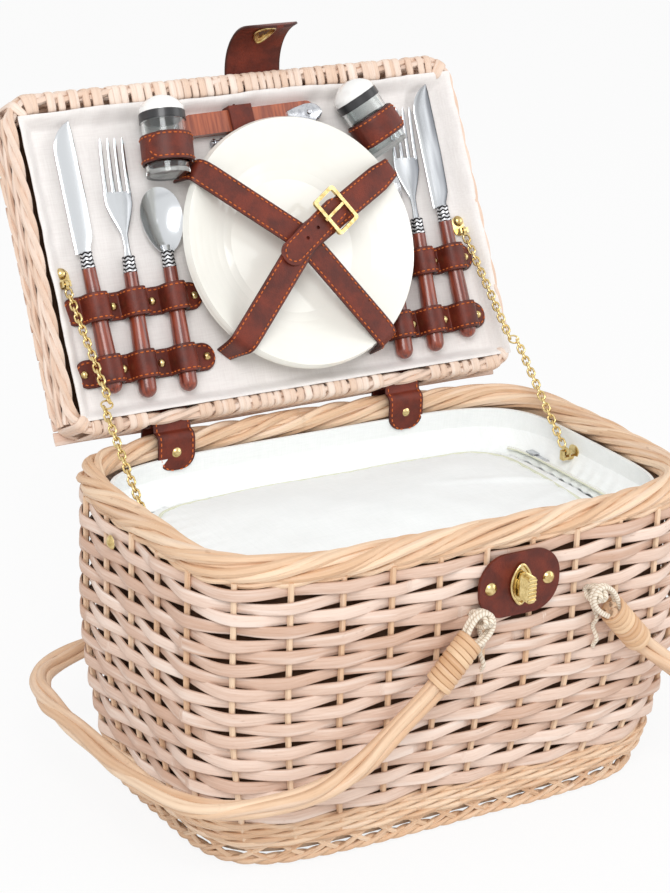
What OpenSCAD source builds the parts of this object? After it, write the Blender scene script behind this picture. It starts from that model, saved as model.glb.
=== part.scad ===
// Wicker picnic basket for two, shown open: willow body with a cooler bag, hinged lid that
// carries plates, cutlery, shakers and a corkscrew, two bow handles and a turn-lock closure.
// Millimetres. +Z is up, +X runs along the basket, the front faces -Y.
// The origin is the middle of the footprint, on the surface that the basket stands on.

/* [Body] */
// Length of the wall at its widest
body_length = 430; // [390:1:480]
// Depth of the wall at its widest, front to back
body_depth = 280; // [250:1:320]
// How much longer and deeper the widest ring is than the footprint
body_flare = 44; // [20:1:56]
// Height of the body to the top of its rim
body_height = 247; // [215:1:290]
// Squareness of the rounded plan outline
plan_power = 5; // [4:0.5:7]
// Thickness of the woven wall
wall_t = 8; // [5:0.5:9]
// Height of one row of weaving
row_height = 11; // [9:0.5:14]
// Thickness of a wall stake
stake_d = 4.4; // [3:0.1:5]
// Number of stakes round the wall
stake_count = 28; // [20:2:36]
// Height of the open foot border
foot_height = 18; // [14:1:24]
// Thickness of one waling rod
waling_rod = 5.5; // [4:0.5:7]
// Height of the rolled rim
rim_height = 22; // [18:1:26]
// Thickness of the rolled rim, inside to outside
rim_width = 21; // [19:1:24]

/* [Cooler bag] */
// Thickness of the bag's fabric walls
lining_t = 2.5; // [1.5:0.5:3]
// Depth of the flap's top below the rim's top
flap_drop = 45; // [44:1:60]
// Thickness of the padded flap
flap_t = 11; // [6:1:14]
// Length of the flap
flap_length = 348; // [300:1:350]
// Depth of the flap, front to back
flap_depth = 204; // [180:1:208]
// Gap between the flap and the collar round it
flap_gap = 4; // [3:0.5:5]

/* [Lid] */
// Length of the lid
lid_length = 404; // [380:1:410]
// Depth of the lid, hinge side to front
lid_depth = 264; // [250:1:270]
// Height of the lid's woven side
lid_height = 36; // [34:1:44]
// Thickness of the lid's woven sides
lid_wall = 13.5; // [12:0.5:14]
// Corner radius of the lid
lid_corner = 25; // [18:1:30]
// Angle from closed to open, held by the chains
lid_open = 117.4; // [100:0.2:118]
// Distance of the lining board's face inside the lid's edge
panel_recess = 9; // [9:0.5:12]
// Thickness of the lining board
panel_t = 8; // [5:0.5:9]

/* [Latch] */
// Place of the latch along the front
latch_x = 25; // [-60:1:60]
// Height of the turn lock above the ground
latch_z = 198; // [185:1:200]
// Length of the leather latch plate
latch_plate_l = 69; // [60:1:70]
// Height of the leather latch plate
latch_plate_h = 48; // [40:1:50]
// Width of the closure tab
tab_width = 56; // [40:1:60]
// Diameter of the turn lock's stem
lock_stem_d = 6; // [4:0.5:7]

/* [Handles] */
// Place of the pivots' middle along the front
pivot_mid_x = 40; // [0:1:45]
// Half the distance between the two handles' pivots
pivot_half = 50; // [40:1:60]
// Height of the pivots above the ground
pivot_z = 180; // [165:1:185]
// Diameter of a handle's bundle of rods
handle_d = 16; // [12:1:18]
// Diameter of the pivot pins
pivot_pin_d = 5; // [4:0.5:6]
// Radial clearance of the handle eyes on their pins
pivot_clear = 0.3; // [0.2:0.05:0.5]

/* [Table ware] */
// Diameter of a plate
plate_d = 200; // [180:1:204]
// Height of a plate's rim
plate_h = 19; // [15:1:22]
// Thickness of a plate
plate_t = 3.5; // [3:0.5:5]
// Diameter of a cutlery handle at its end
grip_d = 14; // [12:0.5:14.5]
// Width of the leather cutlery straps
cutlery_strap_w = 22; // [16:1:24]
// Thickness of the leather
leather_t = 2.4; // [1.5:0.1:2.8]
// Diameter of a shaker
shaker_d = 34; // [28:1:35]
// Height of a shaker
shaker_h = 63; // [55:1:66]

/* [Hidden] */
$fn = 48;

seat = 0.3;                                  // gap between two pieces that rest on each other
lap = 0.02;                                  // how far stacked rows of one piece run into each other
outline_points = 60;                         // corners of the plan outline's polygon
side_diff = (body_length - body_depth) / 2;  // half-length less half-depth, at every height
belly_z = 150;                               // height at which the wall stops widening
rim_z = body_height - rim_height;
waling_rows = 4;
waling_z = foot_height + waling_rows * waling_rod * 0.95;
row_count = floor((rim_z - waling_z) / row_height);
row_h = (rim_z - waling_z - 2 * seat) / row_count;
rim_out = body_length / 2 + 1;
rim_in = rim_out - rim_width;
rim_round = 8;

// Half-length of the wall's outside at height z: it swells from the foot up to the belly.
function half_at(z) = body_length / 2 - body_flare / 2 * (1 - sin(90 * min(1, z / belly_z)));
// Half-length inside the stakes, where the bag hangs
stake_in = 1.9;                              // from the wall's inside to the stakes
function bag_at(z) = half_at(z) - wall_t - stake_in - stake_d - 1.1;
// Point of the rounded plan outline of half-length a, at angle t
function plan_point(a, t) = [
    a * sign(cos(t)) * pow(abs(cos(t)), 2 / plan_power),
    (a - side_diff) * sign(sin(t)) * pow(abs(sin(t)), 2 / plan_power)];
// Half-depth of the same outline at a given x
function plan_y(a, x) = (a - side_diff) * pow(1 - pow(abs(x) / a, plan_power), 1 / plan_power);
// Half-length of the outline at a given y
function plan_x(a, y) = a * pow(1 - pow(abs(y) / (a - side_diff), plan_power), 1 / plan_power);

module plan(a) {
    polygon([for (i = [0:outline_points - 1]) plan_point(a, 360 * (i + 0.5) / outline_points)]);
}

// A ring of the plan outline between two half-lengths, standing from z up by h
module ring(a_out, a_in, z, h) {
    translate([0, 0, z]) linear_extrude(h) difference() {
        plan(a_out);
        plan(a_in);
    }
}

// Surface swept round the plan by a closed section of [half-length, height] points
module plan_sweep(section) {
    m = len(section);
    n = outline_points;
    pts = [for (i = [0:n - 1]) for (s = section)
        let(p = plan_point(s[0], 360 * (i + 0.5) / n)) [p[0], p[1], s[1]]];
    polyhedron(pts, [for (i = [0:n - 1]) for (j = [0:m - 1])
        [i * m + j, i * m + (j + 1) % m, ((i + 1) % n) * m + (j + 1) % m, ((i + 1) % n) * m + j]]);
}

// Flat plate with round corners, centred, standing from z = 0
module rounded_plate(l, w, t, r) {
    linear_extrude(t) {
        square([l - 2 * r, w], center = true);
        square([l, w - 2 * r], center = true);
        for (sx = [-1, 1]) for (sy = [-1, 1])
            translate([sx * (l / 2 - r), sy * (w / 2 - r)]) circle(r);
    }
}

function unit(v) = v / norm(v);
// Tube along a path, with a ring of flat sides round each point; ref is never along the path
module tube(path, d, sides, ref) {
    n = len(path);
    function dir(i) = i == 0 ? unit(path[1] - path[0])
        : i == n - 1 ? unit(path[n - 1] - path[n - 2])
        : unit(unit(path[i + 1] - path[i]) + unit(path[i] - path[i - 1]));
    pts = [for (i = [0:n - 1]) let(f = dir(i), a = unit(cross(f, ref)), b = cross(f, a))
        for (k = [0:sides - 1]) path[i] + d / 2 * (cos(360 * k / sides) * a + sin(360 * k / sides) * b)];
    polyhedron(pts, concat(
        [[for (k = [0:sides - 1]) k]],
        [[for (k = [0:sides - 1]) n * sides - 1 - k]],
        [for (i = [0:n - 2]) for (k = [0:sides - 1])
            let(next = (k + 1) % sides)
            [i * sides + k, (i + 1) * sides + k, (i + 1) * sides + next, i * sides + next]]));
}

// Domed rivet head on the plane z = 0
module rivet_head(d, h) {
    big = (d * d / 4 + h * h) / (2 * h);
    intersection() {
        translate([0, 0, h - big]) sphere(big);
        cylinder(h = h + 1, d = d + 1);
        translate([0, 0, h / 2 + 0.001]) cube([d + 2, d + 2, h], center = true);
    }
}

// ---------------------------------------------------------------- body

base_z = 8;
base_t = 8;

module base_mat() color("burlywood") {
    translate([0, 0, base_z]) linear_extrude(base_t) plan(half_at(0) - wall_t - seat);
}

module foot_border() color("tan") {
    rail = 4;                              // thickness of the rods above and below the windows
    pitch = 26;
    window = 15;
    difference() {
        ring(half_at(0), half_at(0) - wall_t, 0, foot_height);
        for (i = [-5:5]) translate([i * pitch, 0, rail])
            rotate([90, 0, 0]) linear_extrude(body_depth, center = true)
                polygon([[-window / 2, 0], [window / 2, 0], [0, foot_height - 2 * rail]]);
        for (i = [-3:3]) translate([0, i * pitch, rail])
            rotate([90, 0, 90]) linear_extrude(body_length, center = true)
                polygon([[-window / 2, 0], [window / 2, 0], [0, foot_height - 2 * rail]]);
    }
}

module waling_band() color("peru") {
    step = (waling_z - foot_height - seat) / waling_rows;
    for (i = [0:waling_rows - 1]) {
        z = foot_height + seat + i * step;
        ring(half_at(z) + 1, half_at(z) - wall_t, z, step + (i < waling_rows - 1 ? lap : 0));
    }
}

module wall_weave() color("bisque") {
    for (i = [0:row_count - 1]) {
        z = waling_z + seat + i * row_h;
        a = half_at(z + row_h / 2);
        ring(a, a - wall_t, z, row_h + (i < row_count - 1 ? lap : 0));
    }
}

module stakes() color("wheat") {
    low = foot_height + 1.2;
    levels = [for (i = [0:6]) low + i / 6 * (rim_z - 0.5 - low)];
    for (k = [0:stake_count - 1]) {
        t = 360 * (k + 0.5) / stake_count;
        tube([for (z = levels) let(p = plan_point(half_at(z) - wall_t - stake_in - stake_d / 2, t))
            [p[0], p[1], z]], stake_d, 6, [1, 0, 0]);
    }
}

module rim_border() color("burlywood") {
    r = rim_round;
    low_a = rim_in + r;
    high_a = rim_out - r;
    plan_sweep([
        for (i = [0:3]) [low_a - r * sin(30 * i), rim_z + r - r * cos(30 * i)],
        for (i = [0:3]) [low_a - r * cos(30 * i), body_height - r + r * sin(30 * i)],
        for (i = [0:3]) [high_a + r * sin(30 * i), body_height - r + r * cos(30 * i)],
        for (i = [0:3]) [high_a + r * cos(30 * i), rim_z + r - r * sin(30 * i)]]);
}

// ---------------------------------------------------------------- cooler bag

flap_z = body_height - flap_drop - flap_t;   // underside of the flap
bag_floor = base_z + base_t + seat;
bag_top = rim_z - seat;
bag_levels = [for (f = [0, 0.3, 0.6, 1]) bag_floor + f * (bag_top - bag_floor)];
bag_wall = function(z) min(bag_at(z), rim_in + 1);

module cooler_lining() color("white") {
    plan_sweep([for (z = bag_levels) [bag_wall(z), z],
        for (i = [0:3]) let(z = bag_levels[3 - i]) [bag_wall(z) - lining_t, i == 3 ? z + lining_t : z]]);
    translate([0, 0, bag_floor]) linear_extrude(lining_t) plan(bag_wall(bag_floor) - lining_t / 2);
}

module flap_outline(grow) {
    a = flap_length / 2 + grow;
    r = 34 + grow;
    square([2 * a - 2 * r, flap_depth + 2 * grow], center = true);
    square([2 * a, flap_depth + 2 * grow - 2 * r], center = true);
    for (sx = [-1, 1]) for (sy = [-1, 1])
        translate([sx * (a - r), sy * (flap_depth / 2 + grow - r)]) circle(r);
}

module cooler_collar() color("whitesmoke") {
    collar_t = 4;
    z = flap_z + flap_t - collar_t - 2;
    translate([0, 0, z]) linear_extrude(collar_t) difference() {
        plan(bag_wall(z + collar_t) - lining_t - seat);
        flap_outline(flap_gap);
    }
}

module zip_tape() color("lightgrey") {
    tape_w = 5;
    z = flap_z + flap_t - 2 + seat;
    translate([0, 0, z]) linear_extrude(1.5) difference() {
        flap_outline(flap_gap + tape_w);
        flap_outline(flap_gap);
        translate([0, flap_depth / 2]) square([2 * body_length, 60], center = true);
    }
}

module zip_slider() color("silver") {
    translate([flap_length / 2 + flap_gap + 2.5, flap_depth / 2 - 40, flap_z + flap_t - 0.5 + 2 * seat]) {
        rounded_plate(7, 11, 2.5, 1.5);
        translate([0, -12, 0.5]) rounded_plate(4, 18, 1.2, 1.5);
    }
}

// Padded flap with a thin welt along its back edge, where it is sewn to the collar
module cooler_flap() color("aliceblue") {
    welt_t = 1.5;
    translate([0, 0, flap_z]) linear_extrude(flap_t) flap_outline(0);
    translate([0, (flap_depth + flap_gap - seat) / 2, flap_z + flap_t - welt_t / 2])
        cube([flap_length - 88, flap_gap - seat, welt_t], center = true);
}

// ---------------------------------------------------------------- latch

latch_plate_y = -plan_y(half_at(latch_z), 0) - seat;
rosette_y = latch_plate_y - leather_t - 0.2;
knob_gap = 1;

// Stands a piece on the front wall: its own z points out of the wall
module on_front(x, y, z) translate([x, y, z]) rotate([90, 0, 0]) children();

module latch_plate() color("saddlebrown") {
    on_front(latch_x, latch_plate_y, latch_z) difference() {
        rounded_plate(latch_plate_l, latch_plate_h, leather_t, latch_plate_h / 2 - 2);
        translate([0, 0, -1]) cylinder(h = leather_t + 2, d = lock_stem_d + 1);
        for (s = [-1, 1]) translate([s * latch_plate_l * 0.36, 0, -1]) cylinder(h = leather_t + 2, d = 4);
    }
}

module latch_rivets() color("gold") {
    for (s = [-1, 1]) on_front(latch_x + s * latch_plate_l * 0.36, latch_plate_y, latch_z) {
        cylinder(h = leather_t + 0.3, d = 3.6);
        translate([0, 0, leather_t + 0.2]) rivet_head(10, 3);
    }
}

module turn_lock_rosette() color("gold") {
    on_front(latch_x, rosette_y, latch_z) difference() {
        union() {
            rounded_plate(18, 30, 1.6, 8.9);
            cylinder(h = 4, d = 13);
        }
        translate([0, 0, -1]) cylinder(h = 6, d = lock_stem_d + 0.4);
    }
}

module turn_lock_knob() color("gold") {
    on_front(latch_x, rosette_y, latch_z) {
        translate([0, 0, 0.2]) cylinder(h = 13, d = lock_stem_d);
        translate([0, 0, 4 + knob_gap]) cylinder(h = 3, d = 9);
        translate([0, 0, 9]) rounded_plate(9, 24, 6, 4.4);
    }
}

// ---------------------------------------------------------------- handles

handle_y = body_depth / 2 + handle_d / 2 + 4;   // plane in which each leg runs
eye_w = 7;                                       // width of a handle eye along its pin
eye_d = 16;
stem_l = 7;
sleeve_l = 44;
sleeve_t = 2.6;
leg_angle = 48;                                  // slope of a leg below level, at its pivot
handle_drop = pivot_z - 71;                      // fall from the pivots to the bow's far side
handle_clear = 27;                               // from the wall's widest ring to the left bow
// from the pivots to the bow's far side
handle_reach = body_length / 2 + pivot_mid_x - pivot_half + handle_clear;
leg_start = eye_d / 2 + stem_l;
leg_end = leg_start + sleeve_l + 6;
bow_rings = 36;

bow_ref = [sin(leg_angle), 0, -cos(leg_angle)];  // square to the legs, so never along the bow
// A handle is described for the left side, from the front pivot round to the back pivot.
bow_run = handle_reach - leg_end * cos(leg_angle);
bow_fall = handle_drop - leg_end * sin(leg_angle);
bow_power = tan(leg_angle) * bow_run / bow_fall;
function leg_point(s, side) = [-s * cos(leg_angle), side * handle_y, -s * sin(leg_angle)];
function bow_point(t) =
    let(c = pow(cos(t), 2 / 4.5), u = leg_end * cos(leg_angle) + bow_run * c)
    [-u, handle_y * sign(sin(t)) * pow(abs(sin(t)), 2 / 4.5),
     -leg_end * sin(leg_angle) - bow_fall * (1 - pow(1 - c, bow_power))];
bow_path = concat([leg_point(leg_start, -1), leg_point(leg_start + sleeve_l, -1)],
    [for (i = [0:bow_rings]) bow_point(-90 + 180 * i / bow_rings)],
    [leg_point(leg_start + sleeve_l, 1), leg_point(leg_start, 1)]);

// Puts a left-handed piece at its pivots, or mirrors it for the right handle
module at_pivots(side) translate([pivot_mid_x + side * pivot_half, 0, pivot_z])
    mirror([side > 0 ? 1 : 0, 0, 0]) children();

module handle_bow(side) color("burlywood") at_pivots(side) tube(bow_path, handle_d, 10, bow_ref);

module handle_bindings(side) color("tan") at_pivots(side) for (s = [-1, 1])
    translate(leg_point(leg_start + 2, s)) rotate([0, -90 - leg_angle, 0]) difference() {
        cylinder(h = sleeve_l - 4, d = handle_d + 2 * seat + 2 * sleeve_t);
        translate([0, 0, -1]) cylinder(h = sleeve_l, d = handle_d + 2 * seat);
    }

module handle_eyes(side) color("ivory") at_pivots(side) for (s = [-1, 1])
    translate([0, s * handle_y, 0]) difference() {
        union() {
            rotate([90, 0, 0]) cylinder(h = eye_w, d = eye_d, center = true);
            rotate([0, -90 - leg_angle, 0]) cylinder(h = leg_start - seat, d = eye_w - 1);
        }
        rotate([90, 0, 0]) cylinder(h = eye_w + 2, d = pivot_pin_d + 2 * pivot_clear, center = true);
    }

// Pin through the wall's outer face, with a collar behind the eye and a head before it
module handle_pivots() color("ivory") for (hx = [-1, 1]) for (s = [-1, 1]) {
    x = pivot_mid_x + hx * pivot_half;
    wall = plan_y(half_at(pivot_z + 5), x) + seat;
    translate([x, 0, pivot_z]) mirror([0, s > 0 ? 1 : 0, 0]) rotate([90, 0, 0]) {
        translate([0, 0, wall]) cylinder(h = handle_y + eye_w / 2 + 1 + 3 - wall, d = pivot_pin_d);
        translate([0, 0, wall]) cylinder(h = handle_y - eye_w / 2 - 1 - wall, d = pivot_pin_d + 5);
        translate([0, 0, handle_y + eye_w / 2 + 1]) cylinder(h = 3, d = 11);
    }
}

// ---------------------------------------------------------------- lid

lid_gap = 1.5;                                 // closed lid above the rim
lid_edge_v = -9;                               // hinge-side face, in the lid's own v
lid_back_y = 127;                              // where v = 0 lies when the lid is closed
lid_z = body_height + lid_gap;
hinge_v = lid_edge_v + lid_wall / 2;
hinge_w = -11;
hinge_y = lid_back_y - hinge_v;
hinge_z = lid_z - hinge_w;
hinge_rod_d = 7;
hinge_strap_w = 32;
hinge_xs = [-114, 93];
notch_w = hinge_strap_w + 4;
lid_mid_v = lid_edge_v + lid_depth / 2;
panel_w = -panel_recess;                       // height of the board's face in the lid's own w
skin_t = 6;
skin_inset = 2;                                // hinge edge of the top weave, clear of the hinge straps
edge_round = 3;

// The lid's own frame: u along X, v from the hinge side to the front, w out of the lining.
module on_lid() translate([0, hinge_y, hinge_z]) rotate([-lid_open, 0, 0])
    translate([0, -hinge_y, -hinge_z]) translate([0, lid_back_y, lid_z]) rotate([180, 0, 0]) children();
// The same, standing on the lining board
module on_board() on_lid() translate([0, 0, panel_w + seat]) children();

module lid_ring(inset, w_low, h) translate([0, lid_mid_v, w_low]) difference() {
    rounded_plate(lid_length - 2 * inset, lid_depth - 2 * inset, h, lid_corner - inset);
    translate([0, 0, -1]) rounded_plate(lid_length - 2 * lid_wall, lid_depth - 2 * lid_wall, h + 2, 6);
}

module lid_frame() color("wheat") on_lid() difference() {
    union() {
        lid_ring(edge_round, -edge_round, edge_round);
        lid_ring(0, skin_t - lid_height, lid_height - skin_t - edge_round);
    }
    for (x = hinge_xs) translate([x, hinge_v, -lid_height / 2])
        cube([notch_w, lid_wall + 4, lid_height * 2], center = true);
}

module lid_top_weave() color("bisque") on_lid()
    translate([0, lid_mid_v + skin_inset / 2, -lid_height])
        rounded_plate(lid_length, lid_depth - skin_inset, skin_t - seat, lid_corner);

module lid_lining_board() color("floralwhite") on_lid() translate([0, lid_mid_v, panel_w - panel_t])
    rounded_plate(lid_length - 2 * lid_wall - 2 * seat, lid_depth - 2 * lid_wall - 2 * seat, panel_t, 5.5);

module lid_hinge_rods() color("tan") on_lid() for (x = hinge_xs)
    translate([x, hinge_v, hinge_w]) rotate([0, 90, 0])
        cylinder(h = notch_w - 2 * seat, d = hinge_rod_d, center = true);

// Leather strap over the back rim, with a loop round the lid's edge rod
module hinge_straps() color("saddlebrown") for (x = hinge_xs) {
    front = plan_y(rim_in, abs(x) + hinge_strap_w / 2) - seat;
    back = plan_y(rim_out, abs(x) - hinge_strap_w / 2) + seat;
    t = 1.6;
    top = body_height + seat;
    translate([x - hinge_strap_w / 2, 0, 0]) rotate([90, 0, 90]) linear_extrude(hinge_strap_w) difference() {
        union() {
            translate([front - t, rim_z + 1.5]) square([t, top - rim_z - 1.5]);
            translate([back, top - 30]) square([t, 30]);
            translate([front - t, top]) square([back - front + 2 * t, t]);
            translate([hinge_y - 1.5, top]) square([3, hinge_z - top]);
            translate([hinge_y, hinge_z]) circle(d = hinge_rod_d + 2 * seat + 2 * leather_t);
        }
        translate([hinge_y, hinge_z]) circle(d = hinge_rod_d + 2 * seat);
    }
}

module hinge_strap_rivets() color("gold") for (x = hinge_xs) {
    front = plan_y(rim_in, abs(x) + hinge_strap_w / 2) - seat - 1.6 - 0.1;
    translate([x, front, body_height - 12]) rotate([90, 0, 0]) rivet_head(9, 2.6);
}

// ---------------------------------------------------------------- closure tab

tab_r = 49;
tab_start = 12;                                // lean of the tab's root out of the lid's plane
tab_sweep = 95;
tab_t = 2.6;
tab_v = lid_edge_v + lid_depth + 2 * seat;     // middle of the leather at its root
tab_w = -18;
eyelet_at = 78;                                // sweep angle at which the eyelet sits

// The tab's own frame: an arc about its centre of curvature, in the lid's v-w plane
module tab_arc(from, to, r_in, r_out, width) {
    translate([latch_x, tab_v, tab_w]) rotate([tab_start, 0, 0]) translate([0, 0, tab_r])
        rotate([0, -90, 0]) rotate([0, 0, 180]) intersection() {
            difference() {
                cylinder(h = width, r = r_out, center = true);
                cylinder(h = width + 2, r = r_in, center = true);
            }
            rotate([0, 0, -to]) linear_extrude(width + 4, center = true)
                polygon([[0, 0],
                    for (i = [0:4]) let(a = i * (to - from) / 4) 2 * tab_r * [cos(a), sin(a)]]);
        }
}

module at_eyelet(r) translate([latch_x, tab_v, tab_w]) rotate([tab_start, 0, 0]) translate([0, 0, tab_r])
    rotate([eyelet_at, 0, 0]) translate([0, 0, -r]) children();

module closure_tab() color("saddlebrown") on_lid() difference() {
    tab_arc(0, tab_sweep, tab_r - tab_t / 2, tab_r + tab_t / 2, tab_width);
    at_eyelet(tab_r) cube([12, 26, 12], center = true);
    // rounded tip
    translate([latch_x, tab_v, tab_w]) rotate([tab_start, 0, 0]) translate([0, 0, tab_r])
        rotate([tab_sweep - 16, 0, 0]) translate([0, 0, -tab_r]) difference() {
            translate([0, 40, 0]) cube([tab_width + 20, 80, 30], center = true);
            translate([0, -6, 0]) cylinder(h = 40, d = tab_width, center = true);
        }
}

module closure_eyelet() color("gold") on_lid() at_eyelet(tab_r + tab_t / 2 + seat + 1.6) difference() {
    rounded_plate(20, 34, 1.6, 8);
    translate([0, 0, -1]) rounded_plate(11.6, 25.6, 4, 5);
}

// ---------------------------------------------------------------- chains

clip_x = 178.6;                                // lane of the upper halves
wall_x = 184.3;                                // lane of the lower halves, so that they fold past each other
chain_wire = 1.7;
link_l = 9;                                    // outside length of a link
link_w = 6.6;                                  // outside width of a link
link_pitch = link_l - 2 * chain_wire - 0.25;
clip_v = 107;
clip_w = panel_w + 6;
clip_pin_d = 2.4;
wall_eye = [24, rim_z - 8];                    // y and z of the chain's foot inside the wall
clip_closed = [lid_back_y - clip_v, lid_z - clip_w];
// A point given when the lid is closed, turned to where the open lid holds it
function opened(p) = let(y = p[0] - hinge_y, z = p[1] - hinge_z)
    [hinge_y + y * cos(lid_open) + z * sin(lid_open), hinge_z - y * sin(lid_open) + z * cos(lid_open)];
clip_open = opened(clip_closed);
chain_span = norm(clip_open - wall_eye);
chain_slope = atan2(clip_open[1] - wall_eye[1], clip_open[0] - wall_eye[0]);
chain_tube_d = 6.4;
chain_first = 6.2;                             // from a pin to the middle of the first link
half_links = floor((chain_span / 2 - chain_first) / link_pitch);

// One link in the local X-Y plane, long along Y
module chain_link() {
    r = link_w / 2 - chain_wire / 2;
    s = link_l / 2 - link_w / 2;
    for (e = [-1, 1]) {
        translate([0, e * s, 0]) rotate([0, 0, e > 0 ? 0 : 180])
            rotate_extrude(angle = 180) translate([r, 0]) circle(d = chain_wire);
        translate([e * r, 0, 0]) rotate([90, 0, 0]) cylinder(h = 2 * s, d = chain_wire, center = true);
    }
}

// Half of a chain, hung on a pin along X at the origin and running along +Y
module chain_half(turn) {
    rotate([0, 90, 0]) difference() {
        union() {
            cylinder(h = 2.6, d = chain_tube_d, center = true);
            translate([0, chain_tube_d / 2, 0]) cube([2.6, 3, 2.6], center = true);
        }
        cylinder(h = 4, d = clip_pin_d + 0.6, center = true);
    }
    for (i = [0:half_links - 1]) translate([0, chain_first + 1.6 + i * link_pitch, 0])
        rotate([0, ((i + turn) % 2) * 90 + 45, 0]) chain_link();
}

module chain_upper(side) color("gold") translate([side * clip_x, clip_open[0], clip_open[1]])
    rotate([chain_slope + 180, 0, 0]) chain_half(0);
module chain_lower(side) color("gold") translate([side * wall_x, wall_eye[0], wall_eye[1]])
    rotate([chain_slope, 0, 0]) chain_half(1);

// Two lugs and a pin along X at the origin; the lugs run down local -Z by reach
module chain_bracket(reach) {
    rotate([0, 90, 0]) cylinder(h = 7.6, d = clip_pin_d, center = true);
    for (s = [-1, 1]) translate([s * 3, 0, -reach / 2 + 1]) cube([1.6, 4.4, reach + 2], center = true);
}

module lid_chain_clips() color("gold") on_board() for (s = [-1, 1])
    translate([s * clip_x, clip_v, 0]) {
        translate([0, 0, clip_w - panel_w - seat]) chain_bracket(clip_w - panel_w - seat);
        translate([0, 5, 0]) rounded_plate(12, 16, 1.4, 5.9);
        translate([0, 9, 1.4]) rivet_head(9, 3.4);
    }

module wall_chain_eyes() color("gold") for (s = [-1, 1]) mirror([s < 0 ? 1 : 0, 0, 0]) {
    lining = bag_wall(wall_eye[1]) - lining_t;
    plate_x = plan_x(lining, wall_eye[0] + 7) - seat - 1.4;
    translate([plate_x, wall_eye[0], wall_eye[1] - 3]) rotate([0, 90, 0]) rounded_plate(14, 12, 1.4, 5);
    translate([wall_x, wall_eye[0], wall_eye[1]]) {
        rotate([0, 90, 0]) cylinder(h = 7.6, d = clip_pin_d, center = true);
        for (e = [-1, 1]) translate([e * 3, 0, -2]) cube([1.6, 4.4, 6.4], center = true);
        translate([(plate_x + 0.5 - wall_x - 3.8) / 2, 0, -5.4])
            cube([plate_x + 0.5 - wall_x + 3.8, 4.4, 2.4], center = true);
    }
}

module chain_studs() color("gold") for (s = [-1, 1]) {
    face = plan_x(half_at(wall_eye[1]), wall_eye[0]) + seat;
    translate([s * face, wall_eye[0], wall_eye[1] - 4]) rotate([0, s * 90, 0]) rivet_head(11, 3.2);
}

// ---------------------------------------------------------------- plates

plate_at = [18, 113];
plate_foot = 110;
plate_lip = 1.5;                               // how much further in the upper face's edge lies
plate_curve = 1.3;                             // power of the side's rise
plate_slope = plate_curve * plate_h / ((plate_d - plate_foot) / 2);
stack = plate_t + max(1.2, plate_lip * plate_slope + seat);

// Coupe plate: level foot, then a rising curved side
module plate(colour) color(colour) {
    steps = 6;
    rise = function(f) plate_h * pow(f, plate_curve);
    reach = function(f) plate_foot / 2 + f * (plate_d - plate_foot) / 2;
    rotate_extrude($fn = 96) polygon(concat([[0, 0]],
        [for (i = [0:steps]) [reach(i / steps), rise(i / steps)]],
        [for (i = [0:steps]) let(f = 1 - i / steps) [reach(f) - plate_lip, rise(f) + plate_t]],
        [[0, plate_t]]));
}

module on_plates(w) on_board() translate([plate_at[0], plate_at[1], w]) children();
module back_plate() on_plates(0) plate("ivory");
module front_plate() on_plates(stack) plate("linen");

strap_w = 22;
plate_strap_t = 2;
strap_under_w = stack + plate_h + plate_t + 0.6;
strap_over_w = strap_under_w + plate_strap_t + seat;
strap_end = plate_d / 2 + 3;
strap_leg_w = 8;
tongue_angle = 33;
tongue_w = strap_over_w + plate_strap_t + seat;
buckle_at = 34;

// Two arms of strap from the middle of the plates, each with a narrow leg down at the plates' edge.
// Each arm is an [angle, sideways place of its leg, height at which the leg ends].
module strap_pair(w, arms) {
    translate([0, 0, w]) linear_extrude(plate_strap_t) {
        circle(d = strap_w + 2);
        for (arm = arms) rotate(arm[0]) translate([0, -strap_w / 2]) square([strap_end, strap_w]);
    }
    for (arm = arms) rotate([0, 0, arm[0]])
        translate([strap_end - plate_strap_t, arm[1] - strap_leg_w / 2, arm[2]])
            cube([plate_strap_t - 0.1, strap_leg_w, w + plate_strap_t / 2 - arm[2]]);
}

module plate_strap_under() color("saddlebrown") on_plates(0)
    strap_pair(strap_under_w, [[141, 0, 0], [-57, 0, 0]]);
module plate_strap_over() color("saddlebrown") on_plates(0)
    strap_pair(strap_over_w, [[28, 5, plate_h - 4], [225, 0, 0]]);
module strap_tongue() color("sienna") on_plates(tongue_w) rotate([0, 0, tongue_angle])
    translate([8, 0, 0]) difference() {
        rounded_plate(72, strap_w - 2, plate_strap_t, strap_w / 2 - 1.2);
        for (i = [0:2]) translate([buckle_at - 16 - i * 13, 0, -1]) cylinder(h = plate_strap_t + 2, d = 3);
    }
module strap_buckle() color("gold") on_plates(tongue_w + plate_strap_t + seat)
    rotate([0, 0, tongue_angle]) translate([buckle_at, 0, 0]) {
        difference() {
            rounded_plate(24, 34, 3, 3);
            translate([0, 0, -1]) rounded_plate(18, 28, 5, 1.5);
        }
        translate([-1, 0, 1.5]) cube([24, 2.4, 2.4], center = true);
    }

// ---------------------------------------------------------------- cutlery

grip_l = 96;
bolster_l = 13;
grip_neck = 10.5;
grip_axis = grip_d / 2;
strap_vs = [38, 86];                           // the two rows of cutlery straps
knife_l = 213;
fork_l = 203;
spoon_l = 159;
// end of the grip [u, v] and lean towards +u, in degrees
left_set = [[-158, 20, 0], [-131, 13, -3.9], [-96, 13, -3]];
right_set = [[161, 20, -0.8], [128, 13, -4.3], [98, 11, -5]];

// Stands a piece of cutlery on the board, its grip end at the given place, running along local Y
module at_grip(place) on_board() translate([place[0], place[1], grip_axis]) rotate([0, 0, place[2]]) children();

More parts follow.
